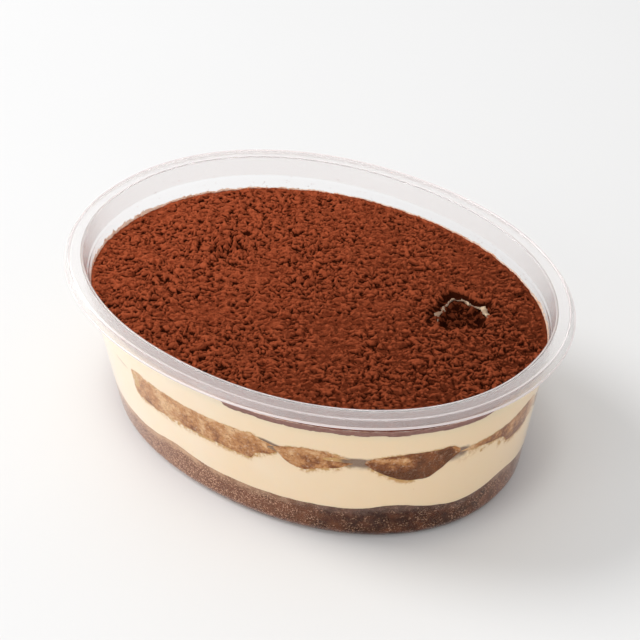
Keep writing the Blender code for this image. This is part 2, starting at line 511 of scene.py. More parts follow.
class Shader:
    """Short-hand for a Principled material made of nodes."""

    def __init__(self, name: str) -> None:
        """Start a material with its Principled shader and Object coordinates.

        Args:
            name: The material's name.
        """
        self.result = bpy.data.materials.new(name)
        self.result.use_nodes = True
        self.tree = self.result.node_tree
        self.surface = self.tree.nodes["Principled BSDF"]
        self.place = self.tree.nodes.new("ShaderNodeTexCoord").outputs["Object"]

    def set(self, **values: object) -> None:
        """Set constant values on the Principled shader, with underscores for the spaces in a name."""
        for name, value in values.items():
            self.surface.inputs[name.replace("_", " ")].default_value = value

    def link(self, name: str, socket: Socket) -> None:
        """Join a socket to the Principled shader's input of this name."""
        self.tree.links.new(socket, self.surface.inputs[name])

    def feed(self, target: Socket, value: object) -> None:
        """Join a socket or a grain's noise to an input, or set the input to a constant.

        Args:
            target: The input.
            value: A socket, a grain, a number or a colour.
        """
        if isinstance(value, Grain):
            value = self.noise(value)
        if isinstance(value, Socket):
            self.tree.links.new(value, target)
        else:
            target.default_value = (*value, 1.0) if isinstance(value, tuple) else value

    def node(self, kind: str, **inputs: object) -> bpy.types.ShaderNode:
        """Add a node.

        Args:
            kind: Its type, without the usual start.
            inputs: What its inputs get, with underscores for the spaces in a name.

        Returns:
            The new node.
        """
        made = self.tree.nodes.new(f"ShaderNode{kind}")
        for name, value in inputs.items():
            self.feed(made.inputs[name.replace("_", " ")], value)
        return made

    def noise(self, grain: Grain) -> Socket:
        """Return layered noise of this grain."""
        inputs = {"Scale": grain.scale, "Detail": grain.detail, "Roughness": grain.roughness}
        return self.node("TexNoise", Vector=self.place, **inputs).outputs["Fac"]

    def along(self) -> Socket:
        """Return the place along the tub's long axis, in metres."""
        return self.node("SeparateXYZ", Vector=self.place).outputs["X"]

    def cells(self, scale: float) -> Socket:
        """Return the distance to scattered points, this many in a metre."""
        return self.node("TexVoronoi", Vector=self.place, Scale=scale).outputs["Distance"]

    def stored(self, name: str) -> Socket:
        """Return a number stored on the mesh."""
        node = self.node("Attribute")
        node.attribute_name = name
        return node.outputs["Fac"]

    def span(self, value: object, low: float, high: float, to_low: float = 0, to_high: float = 1) -> Socket:
        """Return a value stretched smoothly from one span to another and held inside it.

        Args:
            value: What feed takes.
            low: Start of its span.
            high: End of it, which may lie below the start.
            to_low: What the start becomes.
            to_high: What the end becomes.

        Returns:
            The stretched value.
        """
        node = self.node("MapRange", Value=value, From_Min=low, From_Max=high, To_Min=to_low, To_Max=to_high)
        node.interpolation_type = "SMOOTHSTEP"
        return node.outputs["Result"]

    def math(self, operation: str, first: object, second: object) -> Socket:
        """Return what one operation makes of two values.

        Args:
            operation: Blender's word for the operation.
            first: What feed takes.
            second: What feed takes.

        Returns:
            The result.
        """
        node = self.node("Math")
        node.operation = operation
        self.feed(node.inputs[0], first)
        self.feed(node.inputs[1], second)
        return node.outputs[0]

    def times(self, first: object, second: object) -> Socket:
        """Return the product of two values."""
        return self.math("MULTIPLY", first, second)

    def plus(self, first: object, second: object) -> Socket:
        """Return the sum of two values."""
        return self.math("ADD", first, second)

    def blend(self, share: object, first: object, second: object) -> Socket:
        """Return a colour mixed from two.

        Args:
            share: How much of the second colour is in it.
            first: What feed takes.
            second: What feed takes.

        Returns:
            The mixed colour.
        """
        node = self.node("Mix")
        node.data_type = "RGBA"
        self.feed(node.inputs["Factor"], share)
        self.feed(node.inputs[6], first)
        self.feed(node.inputs[7], second)
        return node.outputs[2]

    def bump(self, height: Grain, distance: float, strength: float = 1.0) -> None:
        """Roughen the surface by a height that is worth this distance."""
        node = self.node("Bump", Height=height, Distance=distance, Strength=strength)
        self.link("Normal", node.outputs["Normal"])


@dataclass(frozen=True)
class Finish:
    """A named finish, made once."""

    name: str

    def material(self) -> bpy.types.Material:
        """Return the finish's material."""
        made = bpy.data.materials.get(self.name)
        if made:
            return made
        mix = Shader(self.name)
        self.paint(mix)
        return mix.result

    def paint(self, mix: Shader) -> None:
        """Mix the finish.

        Args:
            mix: The shader of the material that is being made.
        """
        raise NotImplementedError


@dataclass(frozen=True)
class ClearPlastic(Finish):
    """Thin clear plastic, formed in a mould, with a slight ripple from the forming."""

    tint: Triple = (0.985, 0.985, 0.99)
    bending: float = 1.50
    clear: float = 1.0
    gleam: float = 0.24
    rough: float = 0.03
    ripple: Grain = Grain(70.0, 2.0)
    ripple_depth: float = 0.03 * MM

    def paint(self, mix: Shader) -> None:
        """Make it clear, glossy and faintly uneven."""
        mix.set(Base_Color=(*self.tint, 1.0), Roughness=self.rough, IOR=self.bending)
        mix.set(Transmission_Weight=self.clear)
        mix.set(Specular_Tint=(self.gleam, self.gleam, self.gleam, 1.0))
        mix.bump(self.ripple, self.ripple_depth)


@dataclass(frozen=True)
class SoakedBase(Finish):
    """Dark coffee-soaked sponge pressed against plastic: crumb specks, wet patches and a hazy top edge.

    It reads two numbers of the mesh: dry, 0 where the sponge is wet, and edge, 1 at its top edge.
    """

    wet: Triple = (0.030, 0.006, 0.001)
    sponge: Triple = (0.160, 0.050, 0.020)
    speck: Triple = (0.640, 0.370, 0.235)
    veil: Triple = (0.560, 0.340, 0.205)
    grey: Triple = (0.210, 0.135, 0.108)
    soaking: Grain = Grain(210.0, 5.0, 0.65)
    crumb: Grain = Grain(1500.0, 4.0, 0.75)
    scatter: Grain = Grain(300.0)
    speck_scales: tuple[float, float] = (1050.0, 1600.0)
    speck_reach: float = 0.38
    ragged: Grain = Grain(420.0, 4.0, 0.7)
    patchy: Grain = Grain(75.0)
    relief: Grain = Grain(900.0, 4.0, 0.65)
    relief_depth: float = 0.3 * MM

    def paint(self, mix: Shader) -> None:
        """Mix wet and drier sponge, scatter pale specks and haze the top edge."""
        dry = mix.stored("dry")
        patch = mix.plus(mix.times(self.soaking, 1.2), dry)
        body = mix.blend(mix.span(patch, 0.48, 1.05), self.wet, self.sponge)
        fine = mix.span(self.crumb, 0.42, 0.72)
        body = mix.blend(mix.times(fine, mix.span(dry, 0.0, 1.0, 0.04, 0.72)), body, self.speck)
        density = mix.plus(self.scatter, mix.times(dry, 0.30))
        for scale in self.speck_scales:
            specks = mix.span(mix.cells(scale), self.speck_reach, 0.55 * self.speck_reach)
            shown = mix.times(specks, mix.span(density, 0.44, 0.62, 0.0, 0.9))
            shown = mix.times(shown, mix.span(dry, 0.0, 0.6, 0.52, 1.0))
            body = mix.blend(shown, body, self.speck)
        edge = mix.plus(mix.stored("edge"), mix.times(self.ragged, 0.50))
        patches = mix.span(self.patchy, 0.38, 0.56, 0.25, 0.95)
        patches = mix.times(patches, mix.span(dry, 0.0, 0.4, 0.50, 1.0))
        haze = mix.times(mix.span(edge, 0.98, 1.20), patches)
        tone = mix.blend(mix.span(dry, 0.15, 0.45), self.grey, self.veil)
        mix.link("Base Color", mix.blend(haze, body, tone))
        mix.set(Roughness=0.5, Specular_IOR_Level=0.0)
        mix.bump(self.relief, self.relief_depth, 0.8)


@dataclass(frozen=True)
class Cream(Finish):
    """Set mascarpone cream: pale ivory, satin, with small air marks and coffee stains near the sponge, and
    warmer towards the right as painted shade.

    It reads two numbers of the mesh: coffee, how stained it is, and how strongly painted shade greys it where
    trapped air leaves a gap against the wall.
    """

    body: Triple = (0.925, 0.770, 0.590)
    warm_shade: Triple = (0.900, 0.690, 0.455)
    stain: Triple = (0.580, 0.330, 0.120)
    shade: Triple = (0.215, 0.135, 0.095)
    drift: Grain = Grain(45.0)
    mark_scale: float = 260.0
    rarity: Grain = Grain(150.0, 1.0)
    blots: Grain = Grain(600.0, 4.0, 0.7)
    patchy: Grain = Grain(500.0)
    relief: Grain = Grain(260.0, 4.0)
    relief_depth: float = 0.2 * MM

    def paint(self, mix: Shader) -> None:
        """Vary the ivory, warmer to the right as painted shade, then add marks, stains and the pockets'
        painted shade.
        """
        # Painted shade: warmer towards the right, the side away from the key light, with a random drift.
        drift = mix.plus(mix.times(mix.along(), 9.0), self.drift)
        tone = mix.blend(mix.span(drift, 0.0, 1.15), self.body, self.warm_shade)
        marks = mix.span(mix.cells(self.mark_scale), 0.10, 0.05)
        rare = mix.span(self.rarity, 0.60, 0.68)
        tone = mix.blend(mix.times(marks, mix.times(rare, 0.5)), tone, self.stain)
        blot = mix.times(mix.span(self.blots, 0.25, 0.70), 1.5)
        coffee = mix.span(mix.times(mix.stored("coffee"), blot), 0.08, 0.80)
        tone = mix.blend(coffee, tone, self.stain)
        patchy = mix.span(self.patchy, 0.15, 0.60, 0.6, 1.0)
        pocket_shade = mix.times(mix.stored("pocket_shade"), patchy)
        # Painted shade: greyed towards the shade colour where air pockets leave a gap at the wall.
        mix.link("Base Color", mix.blend(mix.span(pocket_shade, 0.12, 0.75, 0.0, 0.92), tone, self.shade))
        mix.set(Roughness=0.45, Subsurface_Weight=0.2, Subsurface_Scale=1.5 * MM)
        mix.set(Subsurface_Radius=(1.0, 0.6, 0.35), Specular_IOR_Level=0.1)
        mix.bump(self.relief, self.relief_depth, 0.6)


@dataclass(frozen=True)
class CocoaFilm(Finish):
    """A thin peach smear of cream and cocoa on plastic, browner with the mesh's coffee."""

    peach: Triple = (0.960, 0.760, 0.620)
    orange: Triple = (0.760, 0.380, 0.200)
    brown: Triple = (0.260, 0.065, 0.025)
    blots: Grain = Grain(700.0, 4.0, 0.7)
    relief: Grain = Grain(1400.0, 4.0, 0.7)
    relief_depth: float = 0.2 * MM

    def paint(self, mix: Shader) -> None:
        """Blend from peach to brown in ragged blots."""
        blot = mix.plus(mix.stored("coffee"), mix.times(self.blots, 0.9))
        tone = mix.blend(mix.span(blot, 0.70, 1.05), self.peach, self.orange)
        mix.link("Base Color", mix.blend(mix.span(blot, 1.08, 1.30), tone, self.brown))
        mix.set(Roughness=0.6, Specular_IOR_Level=0.05, Transmission_Weight=0.45, IOR=1.1)
        mix.bump(self.relief, self.relief_depth, 0.8)


@dataclass(frozen=True)
class SoakedFinger(Finish):
    """Ladyfinger soaked in coffee and pressed against plastic: tan to brown, with pores and paler scraps.

    It reads the mesh's soak, how much coffee it has drunk.
    """

    pale: Triple = (0.720, 0.445, 0.230)
    tan: Triple = (0.500, 0.222, 0.076)
    brown: Triple = (0.215, 0.068, 0.019)
    dark: Triple = (0.115, 0.036, 0.010)
    scrap: Triple = (0.700, 0.500, 0.345)
    crumb: Grain = Grain(420.0, 5.0, 0.8)
    blotch: Grain = Grain(130.0)
    scraps: Grain = Grain(750.0, 6.0, 0.8)
    pore_scale: float = 1000.0
    porous: Grain = Grain(300.0)
    relief: Grain = Grain(700.0, 4.0, 0.65)
    relief_depth: float = 0.4 * MM

    def paint(self, mix: Shader) -> None:
        """Blend pale to dark by how much the ladyfinger has drunk, then add scraps and pores."""
        soak = mix.stored("soak")
        mottled = mix.plus(self.crumb, mix.times(self.blotch, 0.6))
        wet = mix.plus(soak, mix.times(mottled, 1.62))
        tone = mix.blend(mix.span(wet, 1.24, 1.62), self.pale, self.tan)
        tone = mix.blend(mix.span(wet, 1.58, 1.94), tone, self.brown)
        tone = mix.blend(mix.span(wet, 1.94, 2.36), tone, self.dark)
        scraps = mix.span(self.scraps, 0.52, 0.66, 0.0, 0.8)
        tone = mix.blend(mix.times(scraps, mix.span(soak, 0.35, 0.85, 0.75, 0.40)), tone, self.scrap)
        pores = mix.span(mix.cells(self.pore_scale), 0.40, 0.22)
        pores = mix.times(pores, mix.span(self.porous, 0.46, 0.62, 0.0, 0.6))
        mix.link("Base Color", mix.blend(pores, tone, self.brown))
        mix.set(Roughness=0.55, Specular_IOR_Level=0.0)
        mix.bump(self.relief, self.relief_depth, 0.8)


@dataclass(frozen=True)
class Cocoa(Finish):
    """Dry cocoa powder in small clumps, lighter where it is dusty and darker where it is damp, with painted
    shade in its hollows and a painted highlight on its crests.

    It reads three numbers of the mesh: hollow, how far a place lies below its neighbours; how damp it is, with
    painted shade added; and 1 where the powder is pressed against plastic, there partly a painted reflection
    of the plastic's haze.
    """

    dusty_and_highlight: Triple = (0.590, 0.130, 0.052)
    mid: Triple = (0.300, 0.054, 0.020)
    damp_and_shade: Triple = (0.045, 0.008, 0.003)
    # Pale mauve of pressed powder, partly a painted reflection of the plastic's haze.
    pressed_with_haze: Triple = (0.465, 0.240, 0.195)
    dust: Grain = Grain(420.0, 5.0, 0.7)
    powder: Grain = Grain(3200.0, 3.0, 0.7)
    blots: Grain = Grain(500.0, 4.0, 0.7)
    relief: Grain = Grain(1700.0, 5.0, 0.8)
    relief_depth: float = 1.1 * MM

    def paint(self, mix: Shader) -> None:
        """Mix dusty and mid brown, paint shade in hollows and highlights on crests, darken damp places,
        roughen finely.
        """
        hollow = mix.stored("hollow")
        tone = mix.blend(mix.span(self.dust, 0.36, 0.66), self.mid, self.dusty_and_highlight)
        tone = mix.blend(mix.span(self.powder, 0.30, 0.75, 0.0, 0.5), tone, self.mid)
        # Painted highlight: crests above their neighbours are lightened towards the dusty colour.
        tone = mix.blend(mix.span(hollow, 0.0, -0.7, 0.0, 0.85), tone, self.dusty_and_highlight)
        # Damp places darken, and with them the painted shade that is stored with the dampness.
        damp_and_shade = mix.times(mix.stored("damp_and_shade"), mix.span(hollow, 0.10, -0.60, 1.0, 0.45))
        # Painted shade: hollows below their neighbours are darkened towards the dark damp colour.
        dark = mix.math("MAXIMUM", mix.span(hollow, 0.02, 0.70, 0.0, 0.97), damp_and_shade)
        tone = mix.blend(mix.math("MINIMUM", dark, 0.96), tone, self.damp_and_shade)
        # Pressed against plastic: pale mauve, partly the pressed powder, partly a painted reflection of the
        # plastic.
        film = mix.span(self.blots, 0.30, 0.60, 0.7, 1.0)
        film = mix.times(mix.span(mix.stored("pressed_with_haze"), 0.1, 0.6), film)
        mix.link("Base Color", mix.blend(film, tone, self.pressed_with_haze))
        mix.set(Roughness=1.0, Specular_IOR_Level=0.0)
        mix.bump(self.relief, self.relief_depth, 1.0)


@dataclass(frozen=True)
class PaleFloor(Finish):
    """Plain matt studio floor."""

    body: Triple = (0.75, 0.75, 0.75)
    drift: Grain = Grain(9.0)

    def paint(self, mix: Shader) -> None:
        """Keep it almost white, with a trace of unevenness."""
        low = tuple(0.985 * channel for channel in self.body)
        mix.link("Base Color", mix.blend(self.drift, low, self.body))
        mix.set(Roughness=0.7, Specular_IOR_Level=0.2)


# ------------------------------ tub shape


@dataclass(frozen=True)
class TubShape:
    """Sizes of the oval tub. An inset is a distance inwards from the rim's outermost edge."""

    half_length: float
    half_width: float
    height: float
    power: float = 2.1
    sheet: float = 0.7 * MM
    skirt_flare: float = 1.6 * MM
    skirt_drop: float = 2.7 * MM
    land: float = 5.0 * MM
    seat_draft: float = 1.0 * MM
    seat_height: float = 54.0 * MM
    wall_top: float = 52.8 * MM
    wall_bottom: float = 3.0 * MM
    top_inset: float = 8.0 * MM
    draft: float = 7.0 * MM
    corner_run: float = 1.6 * MM
    foot: float = 3.2 * MM
    panel_rise: float = 1.0 * MM
    bead_rise: float = 0.22 * MM
    bead_round: float = 0.12 * MM
    tip_radius: float = 0.45 * MM
    tip_points: int = 20

    @classmethod
    def from_frame(cls) -> TubShape:
        """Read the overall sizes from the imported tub."""
        low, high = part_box("tub")
        return cls((high.x - low.x) / 2, (high.y - low.y) / 2, high.z - low.z)

    def wall_inset(self, z: Array) -> Array:
        """Return the inset of the wall's inner face, which grows evenly downwards."""
        return self.top_inset + self.draft * (self.wall_top - z) / (self.wall_top - self.wall_bottom)

    def oval(self, inset: Array, turn: Array) -> tuple[Array, Array]:
        """Return points on an oval: each half axis times the cosine or sine, raised to 2 / power.

        Args:
            inset: How far inside the rim the oval lies.
            turn: Angles.

        Returns:
            The points' x and y.
        """
        x = (self.half_length - inset) * squared_off(np.cos(turn), self.power)
        y = (self.half_width - inset) * squared_off(np.sin(turn), self.power)
        return x, y

    def wall_points(self, z: Array, turn: Array, press: float) -> Array:
        """Return rings of points at these heights and angles, on the wall's inner face moved outwards."""
        x, y = self.oval(self.wall_inset(z) - press, turn[None, :])
        return np.stack([x, y, z], axis=-1)

    def reach(self, x: Array, y: Array, z: Array, press: float = 0.0) -> Array:
        """Return how far out a point is.

        It is the sum of x and y over the half axes at that height, each raised to the oval's power, and that
        sum raised to 1 / power.

        Args:
            x, y: Places.
            z: Heights.
            press: How far outwards the wall is moved.

        Returns:
            Reaches: 0 on the middle line, 1 on the wall's moved inner face.
        """
        inset = self.wall_inset(z) - press
        along = np.abs(x) / (self.half_length - inset)
        across = np.abs(y) / (self.half_width - inset)
        return (along**self.power + across**self.power) ** (1 / self.power)

    def held_in(self, points: Array, press: float) -> Array:
        """Draw the points outside the wall in to it, along a level line to the middle.

        Args:
            points: Points, with x, y and z along the last axis.
            press: How far outwards the wall is moved.

        Returns:
            The points, all on or inside the moved wall.
        """
        reach = self.reach(points[..., 0], points[..., 1], points[..., 2], press)
        shrink = 1 / np.maximum(reach, 1.0)
        return points * np.stack([shrink, shrink, np.ones_like(shrink)], axis=-1)

    def corners(self) -> list[tuple[float, float, float, float]]:
        """List the corners of the sheet's inner and top face, from the floor's edge to the skirt's tip.

        Returns:
            Inset, z and the rounding on the inner and the outer face of each corner.
        """
        land_end = self.skirt_flare + self.land
        seat = land_end + self.seat_draft
        wall_foot = self.top_inset + self.draft
        ring_start = wall_foot + self.corner_run
        ring_end = ring_start + self.foot
        floor = self.sheet + self.panel_rise
        return [
            (ring_end + 3.0 * MM, floor, 0.0, 0.0),
            (ring_end + 1.0 * MM, floor, 0.5 * MM, 0.5 * MM),
            (ring_end, self.sheet, 0.5 * MM, 0.5 * MM),
            (ring_start, self.sheet, 0.8 * MM, 1.0 * MM),
            (wall_foot, self.wall_bottom, 1.3 * MM, 1.4 * MM),
            (self.top_inset, self.wall_top, 0.3 * MM, 0.3 * MM),
            (seat, self.seat_height, 0.4 * MM, 0.4 * MM),
            (land_end, self.height, 0.2 * MM, 0.3 * MM),
            (self.skirt_flare, self.height, 0.25 * MM, 0.2 * MM),
            (*self.tip_end(), 0.0, 0.0),
        ]

    def tip_neck(self) -> float:
        """Return the distance from the end of the skirt's faces to the middle of the bead at its tip."""
        return math.sqrt(self.tip_radius**2 - (self.sheet / 2) ** 2)

    def tip_end(self) -> tuple[float, float]:
        """Return where the skirt's upper face ends: short of the tip by the bead's length."""
        share = 1 - (self.tip_neck() + self.tip_radius) / math.hypot(self.skirt_flare, self.skirt_drop)
        return self.skirt_flare * (1 - share), self.height - self.skirt_drop * share

    def inner_path(self) -> Array:
        """Round the inner and top face, with a raised edge along each side of the land.

        Returns:
            The path's insets and heights, one point a row.
        """
        corners = [corner[:3] for corner in self.corners()]
        land_end, top, _ = corners[7]
        land = top - self.bead_rise
        beads = [
            (land_end - 0.50 * MM, top, self.bead_round),
            (land_end - 0.75 * MM, land, self.bead_round),
            (self.skirt_flare + 0.80 * MM, land, self.bead_round),
            (self.skirt_flare + 0.55 * MM, top, self.bead_round),
        ]
        return rounded_path(corners[:8] + beads + corners[8:])

    def outer_path(self) -> Array:
        """Return the rounded outer and under face, one sheet's thickness from the inner one's corners."""
        corners = self.corners()
        moved = offset_path(np.array([corner[:2] for corner in corners]), self.sheet)
        return rounded_path([(*point, corner[3]) for point, corner in zip(moved.tolist(), corners)])

    def tip_path(self, inner: Array, outer: Array) -> Array:
        """Return a round bead that joins the ends of the two faces at the skirt's tip.

        It is the part of a circle beyond the two ends, about a point ahead of the middle between them.

        Args:
            inner: The inner face's path.
            outer: The outer face's path.

        Returns:
            The bead's points, without the two ends.
        """
        ahead = inner[-1] - inner[-2]
        ahead = ahead / np.linalg.norm(ahead)
        side = (inner[-1] - outer[-1]) / np.linalg.norm(inner[-1] - outer[-1])
        centre = (inner[-1] + outer[-1]) / 2 + ahead * self.tip_neck()
        start = -math.atan2(self.tip_neck(), self.sheet / 2)
        angle = np.linspace(start, math.pi - start, self.tip_points)[1:-1, None]
        return centre + self.tip_radius * (side * np.cos(angle) + ahead * np.sin(angle))

    def path_rings(self, path: Array, turn: Array) -> Array:
        """Return the rings that a path of insets and heights sweeps round the tub."""
        x, y = self.oval(path[:, :1], turn[None, :])
        return np.stack([x, y, np.broadcast_to(path[:, 1:2], x.shape)], axis=-1)

    def inner_inset(self, z: Array) -> Array:
        """Return the inset of the inner face at a height, with the seat and ledge."""
        path = self.inner_path()
        rising = path[: int(np.argmax(path[:, 1] > self.height - 0.3 * MM))]
        return np.interp(z, rising[:, 1], rising[:, 0])


# ------------------------------ the pieces


@dataclass
class Tub:
    """The clear tub: one thin sheet whose two faces meet at the skirt's tip, a little milky round the rim."""

    shape: TubShape
    columns: int = 320
    floor_shares: tuple[float, ...] = (0.1, 0.35, 0.6, 0.8, 0.93)
    wall: ClearPlastic = ClearPlastic("clear_plastic")
    rim: ClearPlastic = ClearPlastic("milky_rim", (0.985, 0.970, 0.966), clear=0.92, gleam=0.45, rough=0.24)
    # The raised edges and tip are half opaque and pale pink: a painted highlight of the rim's bright lines.
    bead: ClearPlastic = ClearPlastic("painted_highlight_edge", (0.90, 0.83, 0.825), clear=0.56, gleam=0.45)

    def build(self) -> Piece:
        """Sweep the inner face and its offset twin round the oval, and close both floors at the middle.

        Returns:
            The tub.
        """
        turn = full_turn(self.columns)
        inner = self.shape.inner_path()
        outer = self.shape.outer_path()
        shares = np.array(self.floor_shares)
        top = self.shape.path_rings(inner, turn)
        under = self.shape.path_rings(outer, turn)[::-1]
        tip = self.shape.path_rings(self.shape.tip_path(inner, outer), turn)
        floors = disc_rings(top[0], shares), disc_rings(under[-1], shares[::-1])
        rings = np.concatenate([floors[0], top, tip, under, floors[1]])
        poles = [np.array([0.0, 0.0, ring[0, 2]]) for ring in (top[0], under[-1])]
        piece = ringed_piece("clear_tub", rings, *poles)
        piece.visible_shadow = False
        piece.visible_diffuse = False
        dress(piece, self.wall, Slot.TUB, "tub")
        for finish in (self.rim, self.bead):
            piece.data.materials.append(finish.material())
        kinds = np.repeat(self.kinds(rings[:, 0, 2], len(inner), len(tip)), self.columns)
        poled = np.zeros(2 * self.columns, dtype=np.int32)
        piece.data.polygons.foreach_set("material_index", np.concatenate([kinds, poled]))
        return piece

    def kinds(self, z: Array, inner: int, tip: int) -> Array:
        """Pick the finish between each two rings: 0 clear, 1 milky rim, 2 painted highlight on raised edges
        and tip.

        Args:
            z: The rings' heights.
            inner: How many rings the inner face has.
            tip: How many rings the tip's bead has.

        Returns:
            Whole numbers, one for each gap between two rings.
        """
        height = (z[:-1] + z[1:]) / 2
        row = np.arange(len(height)) - len(self.floor_shares)
        on_edge = (height > self.shape.height - 0.25 * self.shape.bead_rise) & (row < inner)
        on_tip = (row >= inner - 1) & (row < inner + tip)
        return np.where(on_edge | on_tip, 2, (height > self.shape.seat_height) * 1).astype(np.int32)


@dataclass(frozen=True)
class RoughPlace:
    """A place where the powder is torn: its middle, its radius and how rough it is there."""

    x: float
    y: float
    radius: float
    strength: float

    def bell(self, x: Array, y: Array) -> Array:
        """Return the strength times a bell curve of the distance from the middle."""
        return self.strength * np.exp(-((x - self.x) ** 2 + (y - self.y) ** 2) / self.radius**2)


@dataclass
class CocoaShape:
    """The cocoa's surface: a low crown along X, a slight tilt, rough places and a torn dent.

    Lifts of the relief are in millimetres; angles round the tub are measured from its right end.
    """

    shape: TubShape
    top: float = 50.4 * MM
    crown: float = 2.2 * MM
    pit_x: float = 46.0 * MM
    pit_y: float = 22.5 * MM
    pit_radius: float = 8.6 * MM
    pit_depth: float = 3.6 * MM
    pit_far: float = math.radians(135)
    slump_depth: float = 1.6 * MM
    trench_depth: float = 0.9 * MM
    front_turn: float = math.radians(296)
    front_fade: tuple[float, float] = (math.radians(54), math.radians(70))
    front_line: float = 51.5 * MM
    deep_start: tuple[float, float] = (280.0, 281.5)
    deep_end: tuple[float, float] = (346.0, 356.0)
    deep_drop: float = 1.60 * MM
    grain_turn: float = math.radians(38)
    grain_stretch: float = 1.4
    shifts: tuple[tuple[float, float, int], ...] = ((0.9 * MM, 0.30 * MM, 11), (2.7 * MM, 0.7 * MM, 13))
    deepest: float = 2.1
    most_damp_and_shade: float = 1.55
    swell: Ripple = Ripple(14.0 * MM, 0.50, 0.0, 21)
    ripples: tuple[Ripple, ...] = (
        Ripple(5.0 * MM, 0.45, 0.45, 22),
        Ripple(0.6 * MM, 0.24, 0.12, 27),
        Ripple(1.15 * MM, 0.42, -0.168, 28, squeeze=0.55),
    )
    clumps: tuple[tuple[float, float, int], ...] = (
        (3.4 * MM, 1.30, 61), (1.7 * MM, 1.50, 63), (0.95 * MM, 1.45, 65),
    )
    lumps: tuple[Cobbles, ...] = (Cobbles(1.9 * MM, 0.30, 0.34, 41), Cobbles(1.1 * MM, 0.34, 0.34, 51))
    pits: Bumps = Bumps(1.7 * MM, 0.40 * MM, 1.0 * MM, 0.55, 91, 0.8)
    hollows: Bumps = Bumps(4.0 * MM, 1.0 * MM, 2.0 * MM, 0.75, 96)
    rough_places: tuple[RoughPlace, ...] = (
        RoughPlace(-46 * MM, 6 * MM, 13 * MM, 1.0),
        RoughPlace(-6 * MM, 8 * MM, 10 * MM, 0.9),
        RoughPlace(46 * MM, 22 * MM, 15 * MM, 0.7),
        RoughPlace(-20 * MM, 22 * MM, 9 * MM, 0.5),
    )

    def level(self, x: Array, y: Array) -> Array:
        """Return the smooth crown, without the dent: falls as the square of x, tilts a little in x and y."""
        along = x / self.shape.half_length
        across = y / self.shape.half_width
        tilt = 0.5 * along - 0.6 * across + 0.8 * along * across
        return self.top - self.crown * along**2 + tilt * MM

    def outline(self, turn: Array) -> tuple[Array, Array]:
        """Return x and y of the cocoa's edge at these angles."""
        return self.shape.oval(self.shape.wall_inset(self.top), turn)

    def pit_turn(self, x: Array, y: Array) -> Array:
        """Return the angle of a place round the dent's middle."""
        return np.arctan2(y - self.pit_y, x - self.pit_x)

    def pit_wave(self, angle: Array) -> Array:
        """Return how much the dent's radius waves at an angle: three sines of different counts."""
        return 0.10 * np.sin(3 * angle + 0.6) + 0.06 * np.sin(5 * angle + 2.0) + 0.03 * np.sin(11 * angle)

    def pit_edge(self, x: Array, y: Array) -> Array:
        """Return the distance from the dent's middle over its radius, which waves with the angle."""
        radius = self.pit_radius * (1 + self.pit_wave(self.pit_turn(x, y)))
        ragged = 0.05 * soft_noise(x, y, 1.6 * MM, 71)
        return np.hypot(x - self.pit_x, y - self.pit_y) / radius + ragged

    def far_side(self, x: Array, y: Array) -> Array:
        """Return 1 straight beyond the dent's middle, seen from the front, and 0 on the opposite side."""
        return 0.5 + 0.5 * np.cos(self.pit_turn(x, y) - self.pit_far)

    def pit(self, x: Array, y: Array) -> Array:
        """Return the depth of the dent: a slump with a trench at its far side, and a hole inside it.

        Args:
            x, y: Places.

        Returns:
            Depths below the crown.
        """
        edge = self.pit_edge(x, y)
        far = self.far_side(x, y)
        start = 0.78 + 0.56 * far**2
        slump = 1 - smooth_step(edge, start, start + 0.5 - 0.26 * far)
        trench = smooth_step(far, 0.3, 0.7) * np.exp(-(((edge - 1.25) / 0.16) ** 2))
        hole = 1 - smooth_step(edge, 0.72, 0.95)
        lumps = 0.5 * MM * hole * layered_noise(x, y, 4 * MM, 3, 77)
        deep = self.slump_depth * slump + self.trench_depth * trench
        return deep + (self.pit_depth - self.slump_depth) * hole + lumps

    def roughness(self, x: Array, y: Array) -> Array:
        """Return how rough the powder is, from 0 in the smooth field to 1 in the torn places."""
        total = np.maximum(0.22 * (1 + 1.7 * layered_noise(x, y, 11 * MM, 2, 5)), 0.02)
        for place in self.rough_places:
            total = np.maximum(total, place.bell(x, y))
        return total

    def grain(self, x: Array, y: Array) -> tuple[Array, Array]:
        """Turn places into the relief's own direction and disturb them a little.

        Args:
            x, y: Places.

        Returns:
            Coordinates along and across the direction in which clumps and ripples are drawn out.
        """
        cosine = math.cos(self.grain_turn)
        sine = math.sin(self.grain_turn)
        along = (x * cosine + y * sine) / self.grain_stretch
        across = y * cosine - x * sine
        for size, shift, seed in self.shifts:
            along = along + shift * soft_noise(x, y, size, seed)
            across = across + shift * soft_noise(x, y, size, seed + 1)
        return along, across

    def relief(self, x: Array, y: Array) -> Array:
        """Return the powder's relief: swells, rounded clumps, tilted crumbs, fine ripples and holes.

        A clump is the absolute value of soft noise, round on top and creased between neighbours. Clumps and
        ripples are drawn out a little along one direction. The lowest places level off smoothly.

        Args:
            x, y: Places.

        Returns:
            Heights over the smooth surface.
        """
        rough = self.roughness(x, y)
        along, across = self.grain(x, y)
        height = self.swell.height(x, y, rough)
        for ripple in self.ripples:
            height = height + ripple.height(along, across, rough)
        for size, lift, seed in self.clumps:
            clump = np.abs(soft_noise(along, across, size, seed)) - 0.35
            height = height + (0.14 + 1.30 * rough) * lift * clump
        for lump in self.lumps:
            cracked = smooth_step(soft_noise(x, y, 2.4 * lump.cell, lump.seed + 7), -0.2, 0.6)
            height = height + (0.5 + 0.7 * rough) * lump.height(along, across, cracked)
        clustered = smooth_step(soft_noise(x, y, 7 * MM, 95) + 1.3 * rough, 0.05, 0.8)
        height = height - (1.3 + 1.3 * rough) * clustered * self.pits.height(along, across)
        height = height - 2.2 * rough * self.hollows.height(along, across)
        return np.where(height < 0, self.deepest * np.tanh(height / self.deepest), height) * MM

